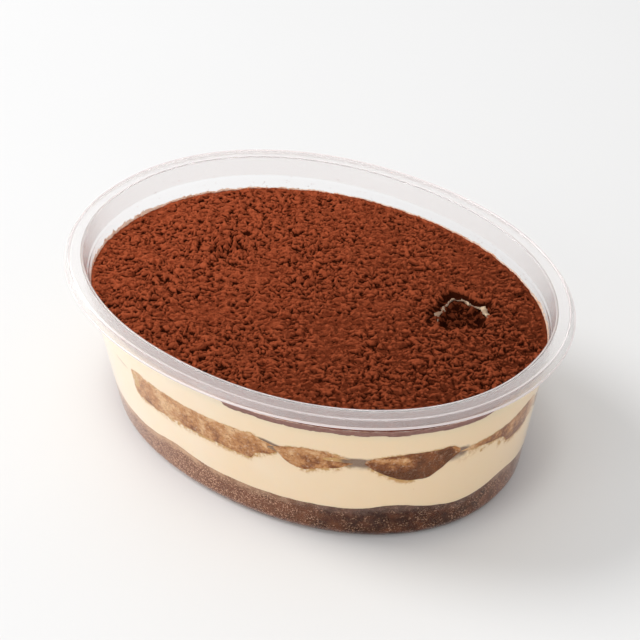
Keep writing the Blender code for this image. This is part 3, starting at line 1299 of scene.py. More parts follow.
    def at_front(self, x: Array, y: Array) -> Array:
        """Return 1 along the front wall, fading to 0 round both ends of the tub."""
        away = np.abs(turn_between(np.arctan2(y, x), self.front_turn))
        return 1 - smooth_step(away, *self.front_fade)

    def wall_line(self, x: Array, y: Array) -> Array:
        """Return the ragged height where the cocoa's top meets the wall: level and raised along the front."""
        front = self.at_front(x, y)
        line = (self.level(x, y) + 0.25 * MM) * (1 - front) + self.front_line * front
        return line + (0.40 - 0.2 * front) * MM * layered_noise(x, y, 2.4 * MM, 3, 83)

    def height(self, x: Array, y: Array) -> Array:
        """Return the finished surface, which climbs to its line at the wall."""
        level = self.level(x, y)
        reach = self.shape.reach(x, y, level)
        beside = smooth_step(reach, 0.972, 0.992)
        climb = smooth_step(reach, 0.93, 0.99) * (self.wall_line(x, y) - level)
        return level + self.relief(x, y) * (1 - 0.8 * beside) + climb - self.pit(x, y)

    def skirting(self, x: Array, y: Array) -> Array:
        """Return the ragged height where the cocoa's side ends: just under its line, deeper front right.

        Args:
            x, y: Places.

        Returns:
            Heights.
        """
        turn = np.degrees(np.arctan2(y, x)) % 360
        deep = smooth_step(turn, *self.deep_start) * (1 - smooth_step(turn, *self.deep_end))
        ragged = 0.20 * MM * layered_noise(x, y, 3.6 * MM, 3, 91)
        ragged = ragged + 0.16 * MM * layered_noise(x, y, 1.1 * MM, 3, 97) + 0.12 * MM * np.sign(ragged)
        front = self.at_front(x, y)
        line = (self.level(x, y) - 0.4 * MM) * (1 - front) + (self.front_line - 0.3 * MM) * front
        return line - self.deep_drop * deep + ragged * (0.5 + 0.5 * deep)

    def damp_and_shade(self, x: Array, y: Array) -> Array:
        """Return how dark the powder is, from dampness and painted shade: darker towards the right and the
        front, painted shade where less of the key light reaches; a little darker round the dent; darkest in
        the torn dent, whose far trench is painted shade and whose hole is partly damp and partly painted
        shade.

        Args:
            x, y: Places.

        Returns:
            Darkness, from 0 to a little over 1.
        """
        edge = self.pit_edge(x, y)
        # Painted shade in the trench beyond the dent's far wall; the hole is partly damp and partly painted
        # shade.
        trench = smooth_step(self.far_side(x, y), 0.15, 0.6) * (1 - smooth_step(edge, 1.32, 1.56))
        hole = 1 - smooth_step(edge, 0.82, 1.04)
        # Painted shade: darker towards the right and the front, away from the key light.
        even = 0.34 + 5.3 * x - 0.6 * y + 0.10 * layered_noise(x, y, 9 * MM, 3, 87)
        around = 0.12 * np.exp(-(((edge - 1.0) / 0.7) ** 2))
        torn = self.most_damp_and_shade * np.maximum(trench, hole)
        return np.clip(np.maximum(even + around, torn), 0, self.most_damp_and_shade)


@dataclass
class CocoaDusting:
    """The cocoa layer in strips side by side, each a closed slab with the relief on top."""

    surface: CocoaShape
    names: tuple[str, ...] = ("cocoa_left", "cocoa_middle_left", "cocoa_middle_right", "cocoa_right")
    across: int = 460
    along: int = 195
    press: float = 0.35 * MM
    under_shares: tuple[float, ...] = (0.965, 0.9, 0.7, 0.45, 0.2)
    under_depth: float = 7.4 * MM
    cut_depth: float = 6.8 * MM
    by_wall: tuple[float, float] = (0.93, 0.975)

    def grid(self) -> tuple[Array, Array]:
        """Spread an even grid on the oval.

        A square grid u, v is drawn to a round one by x = u sqrt(1 - v^2 / 2) and y = v sqrt(1 - u^2 / 2), and
        that one is stretched to the tub's outline at the cocoa's height.

        Returns:
            The grid's x and y, with the long axis first.
        """
        shape = self.surface.shape
        long_steps = np.linspace(-1, 1, len(self.names) * self.along + 1)
        u, v = np.meshgrid(long_steps, np.linspace(-1, 1, self.across + 1), indexing="ij")
        round_x = u * np.sqrt(1 - v * v / 2)
        round_y = v * np.sqrt(1 - u * u / 2)
        radius = np.hypot(round_x, round_y)
        squared = (np.abs(round_x) ** shape.power + np.abs(round_y) ** shape.power) ** (1 / shape.power)
        fit = radius / np.maximum(squared, 1e-9)
        inset = shape.wall_inset(self.surface.top - self.surface.crown / 3) - self.press
        return round_x * fit * (shape.half_length - inset), round_y * fit * (shape.half_width - inset)

    def hollows(self, z: Array, rough: Array) -> Array:
        """Return how far each point of the grid lies below its neighbours, near and farther, from -1 to 1.

        Args:
            z: Heights on the grid.
            rough: How rough the powder is there. A hollow counts for more in a rough place.

        Returns:
            1 in the deepest hollows, -1 on the highest crests.
        """
        near = (neighbours_mean(z, 3) - z) / (0.32 * MM)
        wide = (neighbours_mean(z, 10) - z) / (0.80 * MM)
        return np.clip((0.42 * near + 0.70 * wide) * (0.72 + 1.15 * rough), -1, 1)

    def side_end(self, x: Array, y: Array) -> Array:
        """Return the height where a slab's side ends: the ragged skirting at the wall, deep down at a cut."""
        level = self.surface.level(x, y)
        at_wall = smooth_step(self.surface.shape.reach(x, y, level), *self.by_wall)
        return self.surface.skirting(x, y) * at_wall + (level - self.cut_depth) * (1 - at_wall)

    def underside(self, edge: Array) -> Array:
        """Make a slab's lower rings: where its side ends, then rings deep down that shrink to their middle.

        Args:
            edge: The points round the slab's top.

        Returns:
            Points in rows of rings.
        """
        foot = np.column_stack([edge[:, :2], self.side_end(edge[:, 0], edge[:, 1])])
        low = self.surface.shape.held_in(foot, self.press)
        middle = low[:, :2].mean(axis=0)
        level = middle + (low[None, :, :2] - middle) * np.array(self.under_shares)[:, None, None]
        depth = self.surface.level(level[..., 0], level[..., 1]) - self.under_depth
        depth[0] = low[:, 2]
        return np.concatenate([low[None], np.concatenate([level, depth[..., None]], axis=-1)])

    def slab(self, name: str, top: Array, hollow: Array) -> Piece:
        """Close a strip of the surface with a ragged side, a lip turned inwards and a bottom.

        Args:
            name: The piece's name.
            top: The strip's points on its grid.
            hollow: How deep each of them lies among its neighbours.

        Returns:
            The new object.
        """
        rows, columns = top.shape[:2]
        number = np.arange(rows * columns).reshape(rows, columns)
        rim = np.concatenate([number[:, 0], number[-1, 1:], number[-2::-1, -1], number[0, -2:0:-1]])
        edge = top.reshape(-1, 3)[rim]
        rings = self.underside(edge)
        points = np.vstack([top.reshape(-1, 3), rings.reshape(-1, 3), rings[-1].mean(axis=0)[None]])
        base = rows * columns
        count = len(rim)
        low = base + np.arange(count)
        side = np.stack([rim, low, np.roll(low, -1), np.roll(rim, -1)], axis=-1)
        loops = base + ring_faces(len(rings), count)[:, ::-1]
        fan = fan_faces(len(points) - 1, len(points) - 1 - count, count, forwards=False)
        piece = new_piece(name, points, [grid_faces(rows, columns), side, loops, fan])
        sharpen(piece, rim)
        store(piece, "damp_and_shade", self.surface.damp_and_shade(points[:, 0], points[:, 1]))
        store(piece, "pressed_with_haze", self.pressed_with_haze(points, rim, base))
        store(piece, "hollow", np.append(hollow.ravel(), np.zeros(len(points) - base)))
        return piece

    def pressed_with_haze(self, points: Array, rim: Array, base: int) -> Array:
        """Find where a slab is pressed against the front wall, where the finish adds a painted reflection of
        the plastic's haze: on its side and round its top.

        Args:
            points: All of the slab's points.
            rim: Numbers of the points round its top.
            base: Number of the first point of its lower rings.

        Returns:
            Numbers from 0 to 1, one for each point.
        """
        front = self.surface.at_front(points[:, 0], points[:, 1])
        reach = self.surface.shape.reach(*points[rim].T)
        pressed_with_haze = np.zeros(len(points))
        pressed_with_haze[rim] = front[rim] * smooth_step(reach, *self.by_wall)
        pressed_with_haze[base:] = front[base:]
        return pressed_with_haze

    def build(self) -> list[Piece]:
        """Lay the relief on the grid and cut it into strips.

        Returns:
            The strips.
        """
        x, y = self.grid()
        z = self.surface.height(x, y)
        hollow = self.hollows(z, self.surface.roughness(x, y))
        top = self.surface.shape.held_in(np.stack([x, y, z], axis=-1), self.press)
        made = []
        for k, name in enumerate(self.names):
            part = slice(k * self.along, (k + 1) * self.along + 1)
            piece = self.slab(name, top[part], hollow[part])
            made.append(dress(piece, Cocoa("cocoa_powder"), Slot.COCOA, "cocoa_dusting"))
        return made


@dataclass
class BaseShape:
    """The top of the soaked base: level, with soft swells, each x, y, rise and radius in millimetres.

    How dry the sponge is follows the angle round the tub, in degrees.
    """

    top: float = 14.2 * MM
    swells: tuple[tuple[float, float, float, float], ...] = (
        (-14.0, -57.0, 2.6, 10.0),
        (61.0, -37.0, 2.4, 9.0),
        (79.0, -3.0, 1.6, 8.0),
        (74.0, -20.0, -1.2, 10.0),
        (-58.0, -38.0, 1.2, 12.0),
        (20.0, 55.0, 2.2, 11.0),
        (-55.0, 36.0, 1.8, 12.0),
        (-78.0, 4.0, -1.0, 10.0),
    )
    dry_places: tuple[tuple[float, float], ...] = (
        (0, 0.30), (20, 0.35), (60, 0.30), (100, 0.45), (140, 0.40), (180, 0.55), (225, 0.90),
        (255, 0.85), (275, 0.42), (300, 0.30), (318, 0.04), (342, 0.06), (355, 0.25), (360, 0.30),
    )

    def height(self, x: Array, y: Array) -> Array:
        """Return the level plus a bell curve for each swell and a fine ragged edge."""
        z = self.top + 0.32 * MM * layered_noise(x, y, 4.5 * MM, 4, 101)
        for swell_x, swell_y, rise, radius in np.array(self.swells) * MM:
            z = z + rise * np.exp(-((x - swell_x) ** 2 + (y - swell_y) ** 2) / radius**2)
        return z

    def dryness(self, x: Array, y: Array) -> Array:
        """Return how dry the sponge is round the wall: dry at the front left, wet at the front right."""
        places, levels = zip(*self.dry_places)
        return np.interp(np.degrees(np.arctan2(y, x)) % 360, places, levels)


@dataclass
class SpongeBase:
    """The dark soaked sponge, from the tub's floor up to its swelling top."""

    shape: TubShape
    top: BaseShape
    columns: int = 480
    wall_rows: int = 26
    press: float = 0.35 * MM
    top_shares: tuple[float, ...] = (0.995, 0.97, 0.9, 0.75, 0.5, 0.2)
    floor_shares: tuple[float, ...] = (0.2, 0.6, 0.9)

    def build(self) -> Piece:
        """Follow the tub's floor and corner, climb the wall and cross the top.

        Returns:
            The base.
        """
        turn = full_turn(self.columns)
        path = offset_path(self.shape.inner_path(), self.press)
        path = path[path[:, 1] < self.shape.wall_bottom + 1.0 * MM]
        low = self.shape.path_rings(path, turn)
        x, y = self.shape.oval(self.shape.wall_inset(self.top.top) - self.press, turn)
        crest = self.top.height(x, y)
        share = np.linspace(0, 1, self.wall_rows)[1:, None]
        climb = low[-1][None, :, 2] * (1 - share) + crest[None] * share
        wall = self.shape.wall_points(climb, turn, self.press)
        over = disc_rings(wall[-1], np.array(self.top_shares))
        over[..., 2] = self.top.height(over[..., 0], over[..., 1])
        rings = np.concatenate([disc_rings(low[0], np.array(self.floor_shares)), low, wall, over])
        poles = np.array([[0.0, 0.0, low[0, 0, 2]], [0.0, 0.0, over[-1, :, 2].mean()]])
        piece = ringed_piece("soaked_base", rings, *poles)
        store(piece, "edge", rings[..., 2] / crest[None], (0.0, 1.0))
        store(piece, "dry", self.top.dryness(rings[..., 0], rings[..., 1]), (0.3, 0.3))
        return dress(piece, SoakedBase("soaked_sponge"), Slot.BASE, "sponge_base")


class Run(Enum):
    """Which way a ladyfinger's stations run."""

    ALONG = "along"
    ACROSS = "across"


@dataclass
class FingerShape:
    """One ladyfinger lying along X, cut by the wall where it meets it.

    Its sides are its start and end in x and in y. Its stations run along or across it, each with a place, a
    top and an underside. All of them are in millimetres.
    """

    node: str
    run: Run
    sides: tuple[float, float, float, float]
    soak: float
    stations: tuple[Triple, ...]
    power: float = 2.6
    end_power: float = 6.0

    def spans(self) -> tuple[float, float, float, float]:
        """Return the middle and half the length along X, then the same across."""
        start_x, end_x, start_y, end_y = (side * MM for side in self.sides)
        return (start_x + end_x) / 2, (end_x - start_x) / 2, (start_y + end_y) / 2, (end_y - start_y) / 2

    def shares(self, x: Array, y: Array) -> tuple[Array, Array]:
        """Return how far along and across the bar a point is, from -1 to 1."""
        middle_x, half_x, middle_y, half_y = self.spans()
        return (x - middle_x) / half_x, (y - middle_y) / half_y

    def limits(self, x: Array, y: Array) -> tuple[Array, Array]:
        """Return the middle height and half the thickness that the stations give, without the ends."""
        places, tops, undersides = (np.array(column) for column in zip(*self.stations))
        place = (x if self.run is Run.ALONG else y) / MM
        top = np.interp(place, places, tops) * MM
        underside = np.interp(place, places, undersides) * MM
        return (top + underside) / 2, (top - underside) / 2

    def half(self, x: Array, y: Array) -> Array:
        """Return half the bar's thickness at a place, 0 outside it."""
        along, across = (np.clip(np.abs(share), 0, 1) for share in self.shares(x, y))
        _, half = self.limits(x, y)
        if self.run is Run.ALONG:
            return half * (1 - across**self.power) ** (1 / self.power) * (along < 1)
        return half * (1 - along**self.end_power) ** (1 / self.end_power) * (across < 1)


@dataclass
class Ladyfinger:
    """The mesh of one ladyfinger."""

    shape: TubShape
    form: FingerShape
    seed: int
    rows: int = 180
    columns: int = 112
    press: float = 0.40 * MM
    drift: float = 0.55 * MM
    ragged: float = 0.22 * MM
    jagged: float = 0.7 * MM

    def section(self) -> tuple[Array, Array, Array, Array]:
        """Carry a section along the bar.

        The section is a superellipse, or follows the stations across the bar with blunt ends. Rows lie closer
        together towards the ends of a bar whose end meets the wall.

        Returns:
            The points' x, y, side, 1 on top and -1 underneath, and share of the bar's half thickness.
        """
        form = self.form
        middle_x, half_x, middle_y, half_y = form.spans()
        turn = full_turn(self.columns)[None, :]
        if form.run is Run.ACROSS:
            slant = np.linspace(-0.4999999, 0.4999999, self.rows)[:, None] * math.pi
            share = squared_off(np.sin(slant), form.end_power)
            blunt = np.cos(slant) ** (2 / form.end_power)
            across = np.cos(turn) + 0 * share
            thick = blunt + 0 * turn
        else:
            share = np.linspace(-0.999, 0.999, self.rows)[:, None]
            blunt = (1 - np.abs(share) ** form.end_power) ** (1 / form.end_power)
            across = squared_off(np.cos(turn), form.power) + 0 * share
            thick = np.abs(np.sin(turn)) ** (2 / form.power) + 0 * share
        x = middle_x + half_x * share + 0 * turn
        y = middle_y + half_y * across * (0.9 + 0.1 * blunt)
        return x, y, np.sign(np.sin(turn)) + 0 * share, thick

    def drunk(self, x: Array, y: Array, z: Array, height: Array) -> Array:
        """Return how much coffee each point has drunk: more below, and less at the sides of a wet bar.

        Args:
            x, y: Places.
            z: Heights before the bar is drawn in to the wall.
            height: Heights after that.

        Returns:
            Numbers from about 0 to 1.
        """
        form = self.form
        middle, limit = form.limits(x, y)
        level = np.clip((height - middle) / limit, -1, 1)
        along, across = form.shares(x, y)
        beside = np.abs(along if form.run is Run.ALONG else across)
        drunk = form.soak + 0.18 * soft_noise(x + 0.5 * z, y + z, 6 * MM, self.seed + 3) - 0.12 * level
        return drunk - 0.50 * smooth_step(beside, 0.60, 0.95) * (form.soak > 0.5)

    def build(self) -> Piece:
        """Set the section between the bar's limits, roughen it and draw it in to the wall.

        Returns:
            The bar, without its finish.
        """
        x, y, side, thick = self.section()
        middle, half = self.form.limits(x, y)
        half = half * thick
        drift = self.drift * layered_noise(x, y, 7 * MM, 2, self.seed)
        ragged = self.ragged * layered_noise(x + 0.5 * y, y + side * 0.05, 3.2 * MM, 3, self.seed + 9)
        z = middle + side * half + (drift + ragged) * smooth_step(half, 0.2 * MM, 1.8 * MM)
        jagged = self.jagged * layered_noise(y + 0.3 * x, z, 2.0 * MM, 3, self.seed + 21)
        points = self.shape.held_in(np.stack([x + jagged, y, z], axis=-1), self.press)
        poles = [points[k].mean(axis=0) for k in (0, -1)]
        piece = ringed_piece(f"{self.form.node}_soaked", points, *poles)
        ends = np.arange(self.columns)
        sharpen(piece, np.concatenate([ends, ends + (self.rows - 1) * self.columns]))
        store(piece, "soak", self.drunk(x, y, z, points[..., 2]), (self.form.soak, self.form.soak))
        return piece


@dataclass
class LadyfingerLayer:
    """The layer of ladyfingers, side by side along X."""

    shape: TubShape
    bars: tuple[FingerShape, ...] = (
        FingerShape("finger_front_long", Run.ALONG, (-32.5, 29.5, -66.0, -44.5), 0.28, (
            (-32.5, 39.6, 32.5), (-31.4, 40.3, 29.9), (-28.5, 40.6, 29.2), (-12.0, 40.4, 29.0),
            (0.0, 40.3, 29.2), (14.0, 40.6, 29.1), (19.5, 41.0, 29.2), (21.5, 41.2, 31.8),
            (24.0, 40.2, 33.2), (27.0, 38.9, 34.0), (29.5, 38.0, 36.0),
        )),
        FingerShape("finger_front_short", Run.ALONG, (31.5, 52.5, -65.0, -42.0), 0.38, (
            (31.5, 38.7, 37.0), (33.5, 39.6, 34.0), (36.0, 40.2, 31.3), (38.5, 40.6, 30.6),
            (42.0, 40.6, 32.2), (46.0, 40.4, 33.0), (49.5, 39.4, 34.4), (52.5, 38.4, 36.4),
        )),
        FingerShape("finger_row_two", Run.ACROSS, (-50.0, 84.0, -46.4, -26.0), 0.85, (
            (-46.4, 37.9, 36.6), (-44.7, 39.2, 34.0), (-41.7, 40.3, 31.2), (-38.8, 40.7, 28.8),
            (-36.4, 40.9, 27.8), (-34.2, 41.0, 29.4), (-32.2, 41.0, 31.0), (-30.0, 41.1, 33.2),
            (-28.0, 41.3, 35.2), (-26.0, 38.8, 37.4),
        )),
        FingerShape("finger_row_three", Run.ACROSS, (-62.0, 88.0, -24.0, 12.3), 0.52, (
            (-24.0, 37.6, 37.2), (-20.0, 38.3, 36.7), (-16.0, 38.7, 36.2), (-12.0, 39.1, 35.6),
            (-8.3, 39.5, 34.8), (-6.2, 39.9, 33.4), (-5.0, 40.2, 30.6), (-2.4, 40.7, 29.9),
            (2.0, 41.5, 29.8), (6.0, 42.0, 30.8), (9.8, 41.4, 33.6), (12.3, 38.8, 36.8),
        )),
        FingerShape("finger_row_four", Run.ACROSS, (-90.0, 95.0, 12.5, 34.5), 0.60, (
            (12.5, 37.8, 36.4), (15.0, 39.6, 33.0), (20.0, 40.9, 30.2), (25.0, 40.8, 29.0),
            (29.0, 40.4, 29.8), (32.0, 39.4, 32.2), (34.5, 38.0, 36.0),
        )),
        FingerShape("finger_back_short", Run.ALONG, (12.0, 55.0, 40.0, 65.0), 0.45, (
            (12.0, 38.0, 36.4), (15.5, 39.8, 32.0), (24.0, 40.8, 30.0), (34.0, 40.9, 29.7),
            (44.0, 40.6, 31.0), (50.0, 39.8, 32.8), (55.0, 38.4, 36.0),
        )),
        FingerShape("finger_back_long", Run.ALONG, (-56.0, 8.0, 39.0, 66.0), 0.34, (
            (-56.0, 38.6, 36.4), (-52.0, 40.6, 30.6), (-46.0, 40.9, 29.2), (-30.0, 40.4, 28.9),
            (-12.0, 40.6, 28.7), (-1.0, 40.3, 29.4), (4.0, 39.6, 32.0), (8.0, 38.2, 36.0),
        )),
    )

    def coffee(self, x: Array, y: Array, z: Array) -> Array:
        """Return how strongly coffee has stained the cream: fading over a millimetre or two from a bar.

        Args:
            x, y: Places.
            z: Heights.

        Returns:
            Numbers from 0 to 1.
        """
        total = np.zeros(x.shape)
        for bar in self.bars:
            middle, _ = bar.limits(x, y)
            half = bar.half(x, y)
            below = middle - half - z
            above = z - middle - half
            fade = np.exp(-np.maximum(below, 0) / (1.3 * MM)) * np.exp(-np.maximum(above, 0) / (0.5 * MM))
            total = np.maximum(total, fade * (half > 0.3 * MM))
        return total

    def build(self) -> list[Piece]:
        """Make every bar.

        Returns:
            The bars.
        """
        finish = SoakedFinger("soaked_ladyfinger")
        made = []
        for k, bar in enumerate(self.bars):
            piece = Ladyfinger(self.shape, bar, 200 + 17 * k).build()
            made.append(dress(piece, finish, Slot.FINGER, bar.node))
        return made


@dataclass(frozen=True)
class WallMark:
    """A mark on the cream against the wall: its angle, height, spread, half height, slope and strength.

    The angle is in degrees, the lengths are in millimetres.
    """

    turn: float
    z: float
    spread: float
    height: float
    slope: float = 0.0
    strength: float = 1.0

    def bell(self, turn: Array, z: Array, radius: float, fade: float) -> Array:
        """Return how strongly the mark shows: a flat-topped bell along the wall, a plain bell upwards.

        Args:
            turn: Angles.
            z: Heights.
            radius: The wall's mean radius.
            fade: How much taller the mark's lower half is than its upper half.

        Returns:
            Strengths from 0 to 1.
        """
        arc = turn_between(turn, math.radians(self.turn)) * radius / MM
        lift = z / MM - self.z - self.slope * arc
        height = np.where(lift > 0, self.height, self.height * fade)
        return self.strength * np.exp(-((arc / self.spread) ** 4) - (lift / height) ** 2)


@dataclass
class CreamLayers:
    """The two layers of cream, below and above the ladyfingers."""

    shape: TubShape
    base: BaseShape
    fingers: LadyfingerLayer
    cocoa: CocoaShape
    columns: int = 640
    wall_rows: int = 72
    top_rows: int = 60
    press: float = 0.20 * MM
    sunk: float = 0.3 * MM
    overlap: float = 1.2 * MM
    tuck: float = 0.992
    cover: float = 2.2 * MM
    level_shares: tuple[float, ...] = (0.15, 0.4, 0.65, 0.85, 0.96)
    pocket_fade: float = 2.3
    # Where trapped air keeps the cream off the wall: greyed there as painted shade.
    pocket_shades: tuple[WallMark, ...] = (
        WallMark(288.8, 38.6, 4.2, 1.2, -0.30),
        WallMark(309.9, 37.6, 6.0, 1.5),
        WallMark(337.0, 37.8, 4.6, 1.5, 0.15),
        WallMark(243.0, 38.8, 4.5, 0.6, -0.1, 0.4),
        WallMark(344.0, 37.8, 5.0, 0.3, 0.0, 0.55),
        WallMark(84.0, 37.2, 3.0, 1.5),
        WallMark(40.0, 37.4, 5.0, 0.5, 0.1, 0.35),
        WallMark(12.0, 36.8, 2.6, 1.5),
        WallMark(147.0, 37.0, 3.4, 1.4, 0.1),
        WallMark(172.0, 37.6, 5.0, 0.6, 0.0, 0.5),
    )
    stains: tuple[WallMark, ...] = (
        WallMark(284.6, 31.4, 1.8, 1.7, 0.0, 0.6),
        WallMark(302.5, 32.4, 3.0, 1.0, 0.1, 0.6),
        WallMark(341.0, 34.6, 5.5, 2.6, 0.25, 0.35),
        WallMark(346.0, 34.0, 1.2, 0.8, 0.0, 0.9),
        WallMark(353.0, 33.0, 1.4, 2.4, 0.6, 0.6),
        WallMark(86.5, 32.0, 2.6, 1.6, 0.0, 0.6),
        WallMark(8.5, 33.0, 3.0, 1.6, 0.0, 0.5),
        WallMark(150.0, 33.0, 3.4, 2.0, 0.2, 0.5),
    )

    def seam(self) -> float:
        """Return the height where the two creams meet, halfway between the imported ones."""
        return (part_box("cream_lower")[1].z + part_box("cream_upper")[0].z) / 2

    def marked(self, marks: tuple[WallMark, ...], turn: Array, z: Array, fade: float = 1.0) -> Array:
        """Return how strongly the strongest mark of a set shows.

        Args:
            marks: The marks.
            turn: Angles.
            z: Heights.
            fade: How much taller the lower half of each mark is than the upper half.

        Returns:
            Strengths from 0 to 1.
        """
        radius = (self.shape.half_length + self.shape.half_width) / 2 - self.shape.wall_inset(self.seam())
        total = np.zeros(np.broadcast(turn, z).shape)
        for mark in marks:
            total = np.maximum(total, mark.bell(turn, z, radius, fade))
        return total

    def outline(self, z: float) -> tuple[Array, Array]:
        """Return x and y of the layer's outline at a height."""
        return self.shape.oval(self.shape.wall_inset(z) - self.press, full_turn(self.columns))

    def wall(self, low: Array, high: Array) -> Array:
        """Return the rings against the wall between two heights, one of each for every angle."""
        share = np.linspace(0, 1, self.wall_rows)[:, None]
        z = low[None] * (1 - share) + high[None] * share
        return self.shape.wall_points(z, full_turn(self.columns), self.press)

    def piece(self, name: str, rings: Array, node: str) -> Piece:
        """Close the rings, store the stains and dress the cream.

        Args:
            name: The piece's name.
            rings: Points in rows of rings.
            node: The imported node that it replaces.

        Returns:
            The new object.
        """
        made = ringed_piece(name, rings, rings[0].mean(axis=0), rings[-1].mean(axis=0))
        turn = full_turn(self.columns)[None, :]
        z = rings[..., 2]
        coffee = self.fingers.coffee(rings[..., 0], rings[..., 1], z)
        store(made, "coffee", np.maximum(coffee, self.marked(self.stains, turn, z)), (0.0, 0.0))
        # The pockets' grey is painted shade.
        store(made, "pocket_shade", self.marked(self.pocket_shades, turn, z, self.pocket_fade), (0.0, 0.0))
        return dress(made, Cream("set_cream"), Slot.CREAM, node)

    def lower(self) -> Piece:
        """Make the lower cream on the base.

        It reaches up behind the upper one, just inside it, so that no gap shows between them.

        Returns:
            The lower cream.
        """
        level = np.full(self.columns, self.seam())
        wall = self.wall(self.base.height(*self.outline(self.base.top)) - self.sunk, level)
        under = disc_rings(wall[0], np.array(self.level_shares))
        under[..., 2] = self.base.height(under[..., 0], under[..., 1]) - self.sunk
        tongue = wall[-1] * np.array([self.tuck, self.tuck, 1.0]) + np.array([0.0, 0.0, self.overlap])
        over = disc_rings(tongue, np.append(self.level_shares, 1.0)[::-1])
        return self.piece("lower_cream", np.concatenate([under, wall, over]), "cream_lower")

    def upper(self) -> Piece:
        """Make the upper cream, with the dent in its top, under the cocoa.

        Returns:
            The upper cream.
        """
        level = np.full(self.columns, self.seam())
        edge = self.cocoa.skirting(*self.outline(self.cocoa.top))
        wall = self.wall(level - 0.02 * MM, edge + 0.12 * MM)
        under = disc_rings(wall[0], np.array(self.level_shares))
        over = disc_rings(wall[-1], np.linspace(0.99, 0.02, self.top_rows))
        drop = self.cocoa.pit(over[..., 0], over[..., 1]) + self.cover
        over[..., 2] = self.cocoa.level(over[..., 0], over[..., 1]) - drop
        return self.piece("upper_cream", np.concatenate([under, wall, over]), "cream_upper")

    def build(self) -> list[Piece]:
        """Make both creams."""
        return [self.lower(), self.upper()]


@dataclass
class CreamLip:
    """The torn edge of cream along the far side of the dent: a thin ragged ribbon with gaps."""

    cocoa: CocoaShape
    start: float = math.radians(2)
    end: float = math.radians(238)
    right: float = math.radians(58)
    right_spread: float = 0.42
    left: float = math.radians(205)
    left_spread: float = 0.36
    rows: int = 420
    columns: int = 16

    def build(self) -> Piece:
        """Carry a small flat oval section along the dent's edge, its height and thickness waving.

        Returns:
            The ribbon.
        """
        angle = np.linspace(self.start, self.end, self.rows)
        arc = angle * self.cocoa.pit_radius
        ragged = layered_noise(arc, 0 * arc, 2.0 * MM, 3, 301)
        ends = np.sin(math.pi * (angle - self.start) / (self.end - self.start)) ** 0.4
        patches = smooth_step(layered_noise(arc, 0 * arc, 2.8 * MM, 3, 311), -0.35, 0.45)
        right = np.exp(-(((angle - self.right) / self.right_spread) ** 2))
        left = np.exp(-(((angle - self.left) / self.left_spread) ** 2))
        gaps = 0.3 + 0.7 * smooth_step(layered_noise(arc, 0 * arc, 1.5 * MM, 2, 317), -0.30, 0.10)
        strong = np.clip((0.22 + 0.5 * patches) * gaps + 0.7 * right + 0.5 * left, 0, 1.5) * ends
        fine = layered_noise(arc, 0 * arc, 0.9 * MM, 2, 319)
        tall = (0.05 + (0.60 + 0.30 * fine) * strong) * MM
        thick = (0.04 + (0.52 + 0.42 * fine + 1.7 * left + 0.7 * right) * strong) * MM
        rise = (-0.15 + 0.8 * strong + 0.25 * ragged) * MM
        turn = full_turn(self.columns)[None, :]
        rough = 0.26 * MM * soft_noise(arc[:, None] + 0 * turn, turn * MM, 0.6 * MM, 331) * strong[:, None]
        out = thick[:, None] * np.cos(turn) + rough
        lift = tall[:, None] * np.sin(turn) + rough
        radius = self.cocoa.pit_radius * (1 + self.cocoa.pit_wave(angle)) * (0.99 + 0.05 * ragged)
        x = self.cocoa.pit_x + radius * np.cos(angle)
        y = self.cocoa.pit_y + radius * np.sin(angle)
        z = self.cocoa.level(x, y) - self.cocoa.slump_depth + rise
        ring_x = x[:, None] + out * np.cos(angle)[:, None]
        ring_y = y[:, None] + out * np.sin(angle)[:, None]
        rings = np.stack([ring_x, ring_y, z[:, None] + lift], axis=-1)
        piece = ringed_piece("cream_lip", rings, rings[0].mean(axis=0), rings[-1].mean(axis=0))
        coffee = 0.05 + 0.30 * left + 0.12 * (1 - smooth_step(strong, 0.3, 1.0))
        # The lip greys with the painted shade, more towards its left end and where it is thin.
        grey = 0.36 + 0.15 * left + 0.45 * (1 - smooth_step(strong + 0.5 * fine, 0.3, 1.2))
        store(piece, "coffee", np.repeat(coffee, self.columns), (0.5, 0.5))
        store(piece, "pocket_shade", np.repeat(grey, self.columns), (0.5, 0.5))
        return dress(piece, Cream("set_cream"), Slot.CREAM)


